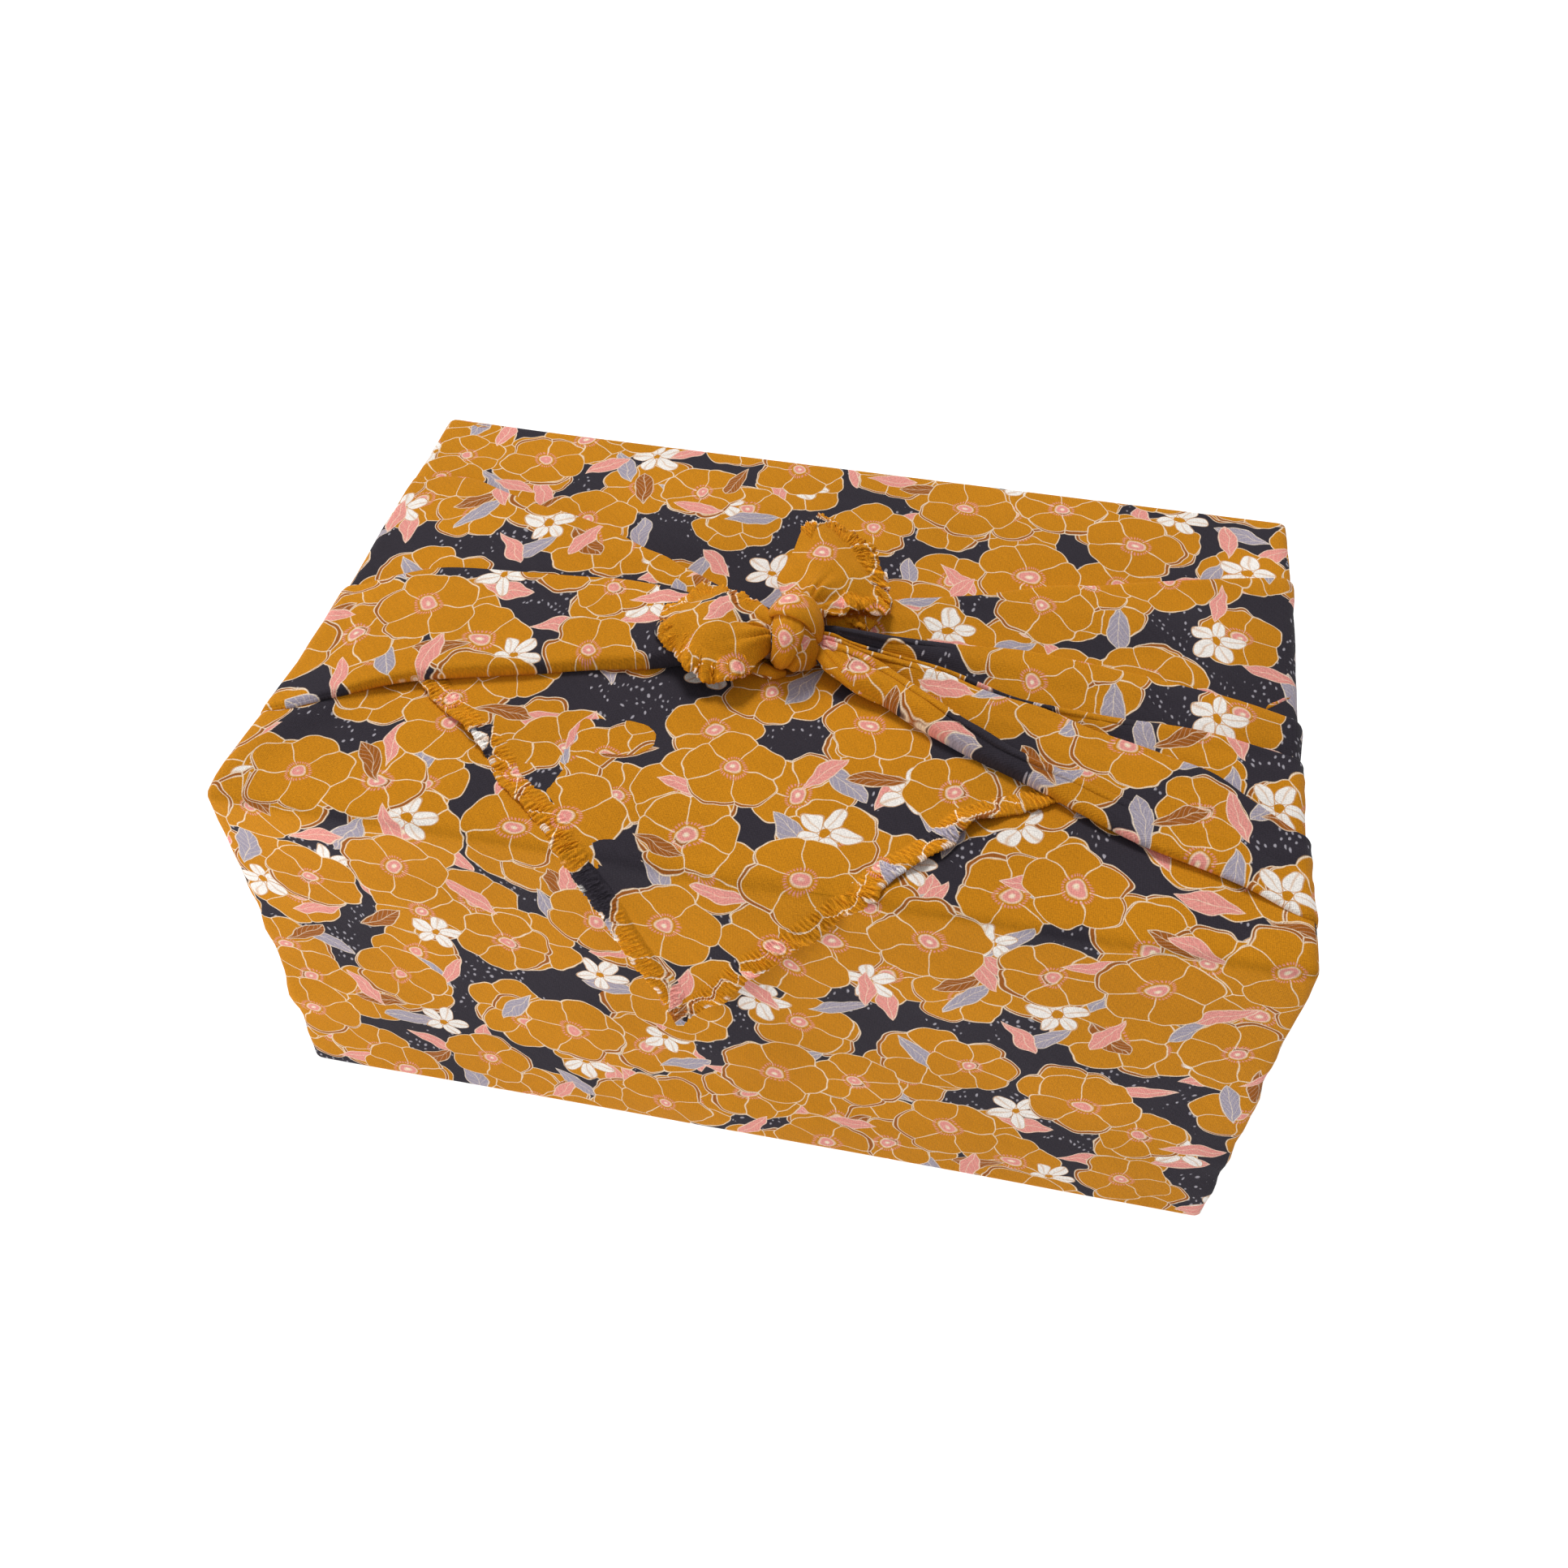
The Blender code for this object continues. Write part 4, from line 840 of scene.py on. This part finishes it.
class Nodes:
    def __init__(self, tree):
        self.t = tree
        self.n = 0

    def new(self, kind, **props):
        node = self.t.nodes.new(kind)
        for k, v in props.items():
            setattr(node, k, v)
        node.location = (200 * (self.n % 40), -220 * (self.n // 40))
        self.n += 1
        return node

    def put(self, sock, val):
        if val is None:
            return
        if isinstance(val, bpy.types.NodeSocket):
            self.t.links.new(val, sock)
        else:
            sock.default_value = val

    def m(self, op, a, b=None, c=None, clamp=False):
        node = self.new("ShaderNodeMath", operation=op, use_clamp=clamp)
        for i, v in enumerate((a, b, c)):
            self.put(node.inputs[i], v)
        return node.outputs[0]

    def v(self, op, a, b=None, scale=None):
        node = self.new("ShaderNodeVectorMath", operation=op)
        self.put(node.inputs[0], a)
        if b is not None:
            self.put(node.inputs[1], b)
        if scale is not None:
            self.put(node.inputs["Scale"], scale)
        return node.outputs["Value"] if op in ("LENGTH", "DISTANCE", "DOT_PRODUCT") else node.outputs[0]

    def xyz(self, vec):
        node = self.new("ShaderNodeSeparateXYZ")
        self.put(node.inputs[0], vec)
        return node.outputs

    def join(self, x, y, z=0.0):
        node = self.new("ShaderNodeCombineXYZ")
        for i, v in enumerate((x, y, z)):
            self.put(node.inputs[i], v)
        return node.outputs[0]

    def turn(self, vec, angle):
        node = self.new("ShaderNodeVectorRotate", rotation_type='Z_AXIS')
        self.put(node.inputs["Vector"], vec)
        self.put(node.inputs["Angle"], angle)
        return node.outputs[0]

    def mix(self, fac, a, b):
        node = self.new("ShaderNodeMix", data_type='RGBA')
        self.put(node.inputs["Factor"], fac)
        self.put(node.inputs[6], a)
        self.put(node.inputs[7], b)
        return node.outputs[2]

    def below(self, d, soft=0.16):
        """1 where d < 0, with a soft step."""
        return self.m('MULTIPLY_ADD', d, -0.5 / soft, 0.5, clamp=True)

    def cells(self, vec, size, jitter):
        node = self.new("ShaderNodeTexVoronoi", voronoi_dimensions='2D', feature='F1')
        self.put(node.inputs["Vector"], vec)
        node.inputs["Scale"].default_value = 1.0 / size
        node.inputs["Randomness"].default_value = jitter
        col = self.new("ShaderNodeSeparateColor")
        self.t.links.new(node.outputs["Color"], col.inputs[0])
        local = self.v('SUBTRACT', vec, node.outputs["Position"])
        return local, col.outputs

    def noise(self, vec, scale, detail=2.0, dims='2D', out="Fac"):
        node = self.new("ShaderNodeTexNoise", noise_dimensions=dims)
        self.put(node.inputs["Vector"], vec)
        node.inputs["Scale"].default_value = scale
        node.inputs["Detail"].default_value = detail
        node.inputs["Roughness"].default_value = 0.55
        return node.outputs[out]


def blossom(nt, vec, size, jitter, angle, shift, radius, keep, petals, fat, line):
    """A layer of round-petalled blossoms: its distances, cell numbers and masks."""
    q = nt.turn(nt.v('ADD', vec, shift), angle)
    local, rnd = nt.cells(q, size, jitter)
    big = nt.m('MULTIPLY_ADD', rnd[2], 0.20, 0.87)          # each has its own size
    local = nt.v('SCALE', local, scale=nt.m('DIVIDE', 1.0 / radius, big))
    x, y = nt.xyz(local)[:2]
    r = nt.v('LENGTH', local)
    th = nt.m('MULTIPLY_ADD', rnd[1], 6.2832, nt.m('ARCTAN2', y, x))
    half = math.pi / petals
    t = nt.m('PINGPONG', th, half)
    px = nt.m('MULTIPLY', r, nt.m('COSINE', t))
    py = nt.m('MULTIPLY', r, nt.m('SINE', t))
    a, b, squeeze = fat
    dx = nt.m('SUBTRACT', px, a)
    d = nt.m('SUBTRACT', nt.m('SQRT', nt.m('MULTIPLY_ADD', nt.m('MULTIPLY', py, py), squeeze, nt.m('MULTIPLY', dx, dx))), b)
    d = nt.m('MULTIPLY', d, radius)                         # mm outside the petal
    gap = nt.m('MULTIPLY', nt.m('MULTIPLY', r, nt.m('SINE', nt.m('SUBTRACT', half, t))), radius)
    there = nt.m('LESS_THAN', rnd[0], keep)
    heart = nt.m('LESS_THAN', r, 0.34)
    body = nt.m('MULTIPLY', nt.m('MAXIMUM', nt.below(d), heart), there)
    cut = nt.m('MULTIPLY', nt.below(nt.m('SUBTRACT', gap, line)), nt.m('GREATER_THAN', r, 0.2))
    return d, body, cut, r, rnd, t, th


def leaf(nt, vec, size, jitter, angle, shift, length, wide, keep):
    q = nt.turn(nt.v('ADD', vec, shift), angle)
    local, rnd = nt.cells(q, size, jitter)
    local = nt.turn(local, nt.m('MULTIPLY', rnd[1], 6.2832))
    x, y = nt.xyz(local)[:2]
    u = nt.m('DIVIDE', x, length)
    ay = nt.m('ABSOLUTE', y)
    w = nt.m('MULTIPLY', nt.m('MULTIPLY_ADD', nt.m('MULTIPLY', u, u), -1.0, 1.0), nt.m('MULTIPLY_ADD', u, 0.3 * wide, wide))
    d = nt.m('SUBTRACT', ay, w)
    there = nt.m('LESS_THAN', rnd[0], keep)
    inside = nt.m('LESS_THAN', nt.m('ABSOLUTE', u), 1.0)
    body = nt.m('MULTIPLY', nt.m('MULTIPLY', nt.below(d), there), inside)
    rim = nt.below(nt.m('SUBTRACT', nt.m('ABSOLUTE', nt.m('ADD', d, 0.18)), 0.15))
    vein = nt.below(nt.m('SUBTRACT', nt.m('PINGPONG', nt.m('MULTIPLY_ADD', ay, 0.9, nt.m('MULTIPLY', x, -0.55)), 0.8), 0.08), 0.12)
    rib = nt.below(nt.m('SUBTRACT', ay, 0.08))
    return body, rim, vein, rib, rnd


def cloth_material():
    mat = bpy.data.materials.new("printed_cloth")
    mat.use_nodes = True
    nt = Nodes(mat.node_tree)
    bsdf = mat.node_tree.nodes["Principled BSDF"]
    uv = nt.new("ShaderNodeUVMap", uv_map="cloth").outputs[0]
    mm = nt.v('SCALE', uv, scale=1000.0)
    design = nt.v('SCALE', uv, scale=1000.0 / PRINT)
    # hand-drawn wander of every outline
    wob = nt.noise(design, 0.085, 1.0, out="Color")
    p = nt.v('ADD', design, nt.v('SCALE', nt.v('SUBTRACT', wob, (0.5, 0.5, 0.5)), scale=5.0))

    col = INK["ground"]
    # short light dashes in drifts on the ground
    q = nt.v('MULTIPLY', p, (1.0, 0.60, 1.0))
    local, rnd = nt.cells(nt.turn(q, 0.5), 2.5, 0.6)
    drift = nt.noise(design, 0.030, 0.0)
    dash = nt.m('MULTIPLY', nt.below(nt.m('SUBTRACT', nt.v('LENGTH', local), 0.46), 0.14), nt.m('GREATER_THAN', drift, 0.50))
    col = nt.mix(dash, col, INK["dash"])

    def leaves(col, size, angle, shift, length, wide, keep, colour, veins):
        body, rim, vein, rib, rnd = leaf(nt, p, size, 0.3, angle, shift, length, wide, keep)
        ink = nt.mix(nt.m('MULTIPLY', vein, veins), INK[colour], INK["cream"])
        ink = nt.mix(nt.m('MAXIMUM', rim, rib), ink, INK["cream"])
        return nt.mix(body, col, ink)

    def mustard(col, size, angle, shift, radius, keep, petals, fat):
        d, body, cut, r, rnd, t, th = blossom(nt, p, size, 0.24, angle, shift, radius, keep, petals, fat, 0.17)
        # a deeper petal shows past the front one along part of the outline
        turn = nt.m('SINE', nt.m('MULTIPLY_ADD', rnd[0], 37.0, th))
        w = nt.m('MULTIPLY_ADD', nt.m('MAXIMUM', turn, -0.1), 1.9, -0.25)
        inner = nt.m('ADD', d, w)
        ink = nt.mix(nt.m('MULTIPLY', rnd[1], 0.22), INK["mustard"], INK["mustard_deep"])
        ink = nt.mix(nt.m('MULTIPLY', nt.m('GREATER_THAN', inner, 0.0), nt.m('GREATER_THAN', w, 0.0)), ink, INK["rust"])
        rim = nt.below(nt.m('SUBTRACT', nt.m('ABSOLUTE', nt.m('ADD', d, 0.18)), 0.20))
        rim2 = nt.below(nt.m('SUBTRACT', nt.m('ABSOLUTE', inner), 0.14))
        ink = nt.mix(nt.m('MAXIMUM', nt.m('MAXIMUM', rim, rim2), cut), ink, INK["cream"])
        # centre: a pink disc in a ring of pink and cream dots
        ring = nt.below(nt.m('SUBTRACT', nt.m('ABSOLUTE', nt.m('SUBTRACT', r, 0.25)), 0.024), 0.02)
        dots = nt.m('MULTIPLY', ring, nt.m('LESS_THAN', nt.m('PINGPONG', t, 0.105), 0.055))
        ink = nt.mix(dots, ink, INK["pink"])
        ink = nt.mix(nt.below(nt.m('SUBTRACT', r, 0.165), 0.02), ink, INK["cream"])
        ink = nt.mix(nt.below(nt.m('SUBTRACT', r, 0.142), 0.02), ink, INK["pink"])
        ink = nt.mix(nt.below(nt.m('SUBTRACT', r, 0.05), 0.02), ink, INK["cream"])
        return nt.mix(body, col, ink)

    col = mustard(col, 41.0, 0.62, (17.0, 40.0, 0.0), 18.5, 0.74, 5, (0.50, 0.50, 0.86))
    col = leaves(col, 41.0, 0.9, (2.0, 33.0, 0.0), 11.0, 3.8, 0.45, "pink", 0.35)
    col = mustard(col, 47.0, 0.20, (3.0, 9.0, 0.0), 19.0, 0.85, 5, (0.50, 0.50, 0.86))
    col = leaves(col, 34.0, 0.35, (7.0, 3.0, 0.0), 11.5, 3.9, 0.62, "lavender", 0.45)
    # small white flowers
    d, body, cut, r, rnd, t, th = blossom(nt, p, 43.0, 0.3, 0.9, (11.0, 29.0, 0.0), 10.8, 0.55, 5, (0.58, 0.42, 2.0), 0.11)
    rib = nt.m('MULTIPLY', nt.below(nt.m('SUBTRACT', t, 0.05), 0.05), 0.5)
    ink = nt.mix(nt.m('MAXIMUM', nt.below(nt.m('SUBTRACT', nt.m('ABSOLUTE', nt.m('ADD', d, 0.18)), 0.15)), rib), INK["white"], INK["mustard"])
    ink = nt.mix(nt.m('LESS_THAN', r, 0.17), ink, INK["mustard"])
    col = nt.mix(body, col, ink)
    col = mustard(col, 46.0, -0.45, (24.0, 31.0, 0.0), 17.6, 0.64, 6, (0.56, 0.44, 0.74))
    col = leaves(col, 37.0, -0.5, (21.0, 15.0, 0.0), 10.5, 3.7, 0.42, "rust", 0.35)
    col = leaves(col, 38.0, 1.1, (31.0, 5.0, 0.0), 11.0, 3.4, 0.62, "pink", 0.35)
    col = mustard(col, 50.0, 0.95, (9.0, 22.0, 0.0), 19.8, 0.66, 5, (0.50, 0.50, 0.86))

    # the cloth itself: yarn across the bias, a fine mottle
    g = nt.turn(mm, math.pi / 4)
    gx, gy = nt.xyz(g)[:2]
    warp = nt.m('SINE', nt.m('MULTIPLY', gx, 2 * math.pi / 0.66))
    weft = nt.m('SINE', nt.m('MULTIPLY', gy, 2 * math.pi / 0.66))
    weave = nt.m('MULTIPLY', warp, weft)
    fuzz = nt.noise(mm, 1.9, 2.0)
    slub = nt.noise(nt.v('MULTIPLY', g, (0.15, 1.0, 1.0)), 0.9, 2.0)
    shade = nt.m('ADD', nt.m('MULTIPLY_ADD', weave, 0.13, 0.68), nt.m('MULTIPLY', fuzz, 0.62))
    shade = nt.m('MULTIPLY_ADD', slub, 0.18, nt.m('SUBTRACT', shade, 0.09))
    # a slow random mottle: partly the cloth's own uneven colour, partly painted shade standing in for soft undulations
    # of the sheet
    slow = nt.noise(mm, 0.022, 1.0)
    shade = nt.m('MULTIPLY_ADD', slow, 0.20, nt.m('SUBTRACT', shade, 0.10))
    tone = nt.new("ShaderNodeAttribute", attribute_name="thread_tone").outputs["Fac"]
    white_tip = nt.new("ShaderNodeAttribute", attribute_name="thread_white_tip").outputs["Fac"]
    # the sewn threads get their painted highlight and painted shade here, read from the mesh
    shade = nt.m('MULTIPLY', shade, nt.m('ADD', tone, 1.0))
    # some thread turns at the edge are blended toward white
    col = nt.mix(white_tip, col, INK["white"])
    final = nt.new("ShaderNodeVectorMath", operation='SCALE')
    nt.put(final.inputs[0], col)
    nt.put(final.inputs["Scale"], shade)
    mat.node_tree.links.new(final.outputs[0], bsdf.inputs["Base Color"])
    rough = nt.m('MULTIPLY_ADD', fuzz, 0.14, 0.80)
    mat.node_tree.links.new(rough, bsdf.inputs["Roughness"])
    bsdf.inputs["Specular IOR Level"].default_value = 0.09
    bsdf.inputs["Sheen Weight"].default_value = 0.03
    bsdf.inputs["Sheen Roughness"].default_value = 0.45
    height = nt.m('ADD', nt.m('MULTIPLY', weave, 0.5), nt.m('MULTIPLY_ADD', slub, 1.2, nt.m('MULTIPLY', fuzz, 0.9)))
    bump = nt.new("ShaderNodeBump")
    bump.inputs["Strength"].default_value = 0.75
    bump.inputs["Distance"].default_value = 0.00012
    mat.node_tree.links.new(height, bump.inputs["Height"])
    mat.node_tree.links.new(bump.outputs[0], bsdf.inputs["Normal"])
    return mat


# ======================================================================= build
cloth_mat = cloth_material()

wrap_patch = Patch()
parcel(wrap_patch)
flap_sheet = flap(wrap_patch)
band(wrap_patch, -1.0, BAND_LEFT, FOOT_LEFT, SKIP_LEFT, (184.0, 40.0), 201)
band(wrap_patch, 1.0, BAND_RIGHT, FOOT_RIGHT, SKIP_RIGHT, (4.0, 444.0), 301)
wrap = wrap_patch.object("furoshiki_sheet")
# the parcel's six sides are one sheet: join the points where they meet
bm = bmesh.new()
bm.from_mesh(wrap.data)
bmesh.ops.remove_doubles(bm, verts=bm.verts[:], dist=1e-6)
bm.to_mesh(wrap.data)
bm.free()
wrap.data.shade_smooth()

knot_patch = Patch()
egg_body(knot_patch, 0.84, (98.0, 420.0))
wrap_band(knot_patch, WRAP_RIGHT, 0.5, 0.17, (21.0, 14.5), 2.4)
wrap_band(knot_patch, WRAP_LEFT, 0.45, 0.13, (217.0, 20.0), 1.0)
wrap_band(knot_patch, HOOD, 0.5, 0.12, (105.0, 398.5), 4.1)
fold_roll(knot_patch, PINCH, (344.0, 12.0), 0.7)
fold_roll(knot_patch, FRONT_ROLL, (108.0, 408.0), 1.9)
ear_sheets = [ear(knot_patch, *row) for row in EARS]
knot = knot_patch.object("knot_and_ears")

seam_patch = Patch()
flap_overlock(seam_patch, flap_sheet)
for sheet, row in zip(ear_sheets, EARS):
    ear_overlock(seam_patch, sheet, row[7] + 500)
seam = seam_patch.object("overlock_thread")

for obj in (wrap, knot, seam):
    obj.data.materials.append(cloth_mat)
    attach(obj, "root")
for obj in (wrap, knot):
    mod = obj.modifiers.new("thickness", 'SOLIDIFY')
    mod.thickness = THICK * MM
    mod.offset = -1.0
    mod.use_rim = True
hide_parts("furoshiki_cloth")

# ======================================================================= stage
floor_mesh = bpy.data.meshes.new("floor")
bm = bmesh.new()
bmesh.ops.create_grid(bm, x_segments=1, y_segments=1, size=6.0)
bm.to_mesh(floor_mesh)
bm.free()
floor = bpy.data.objects.new("floor", floor_mesh)
floor.location = (0.0, 0.0, -0.0002)
bpy.context.scene.collection.objects.link(floor)
fmat = bpy.data.materials.new("floor_paint")
fmat.use_nodes = True
fb = fmat.node_tree.nodes["Principled BSDF"]
fb.inputs["Base Color"].default_value = (0.30, 0.30, 0.30, 1.0)
fb.inputs["Emission Color"].default_value = (1.0, 1.0, 1.0, 1.0)
fb.inputs["Emission Strength"].default_value = 0.95
fb.inputs["Roughness"].default_value = 0.9
fb.inputs["Specular IOR Level"].default_value = 0.1
floor.data.materials.append(fmat)


def area(name, place, target, size, power, colour=(1.0, 1.0, 1.0)):
    data = bpy.data.lights.new(name, 'AREA')
    data.shape = 'DISK'
    data.size = size
    data.energy = power
    data.color = colour
    obj = bpy.data.objects.new(name, data)
    obj.location = place
    obj.rotation_euler = (Vector(target) - Vector(place)).to_track_quat('-Z', 'Y').to_euler()
    bpy.context.scene.collection.objects.link(obj)


area("key", (-0.50, 1.22, 2.10), (0.0, 0.0, 0.10), 0.80, 38.5, (1.0, 0.985, 0.96))
area("fill", (-0.64, -0.52, 0.24), (-0.08, 0.0, 0.06), 0.42, 2.5, (1.0, 0.965, 0.91))

world = bpy.data.worlds.new("world")
bpy.context.scene.world = world
world.use_nodes = True
bg = world.node_tree.nodes["Background"]
bg.inputs[0].default_value = (1.0, 1.0, 1.0, 1.0)
bg.inputs[1].default_value = 0.38
bpy.context.scene.view_settings.view_transform = 'Standard'
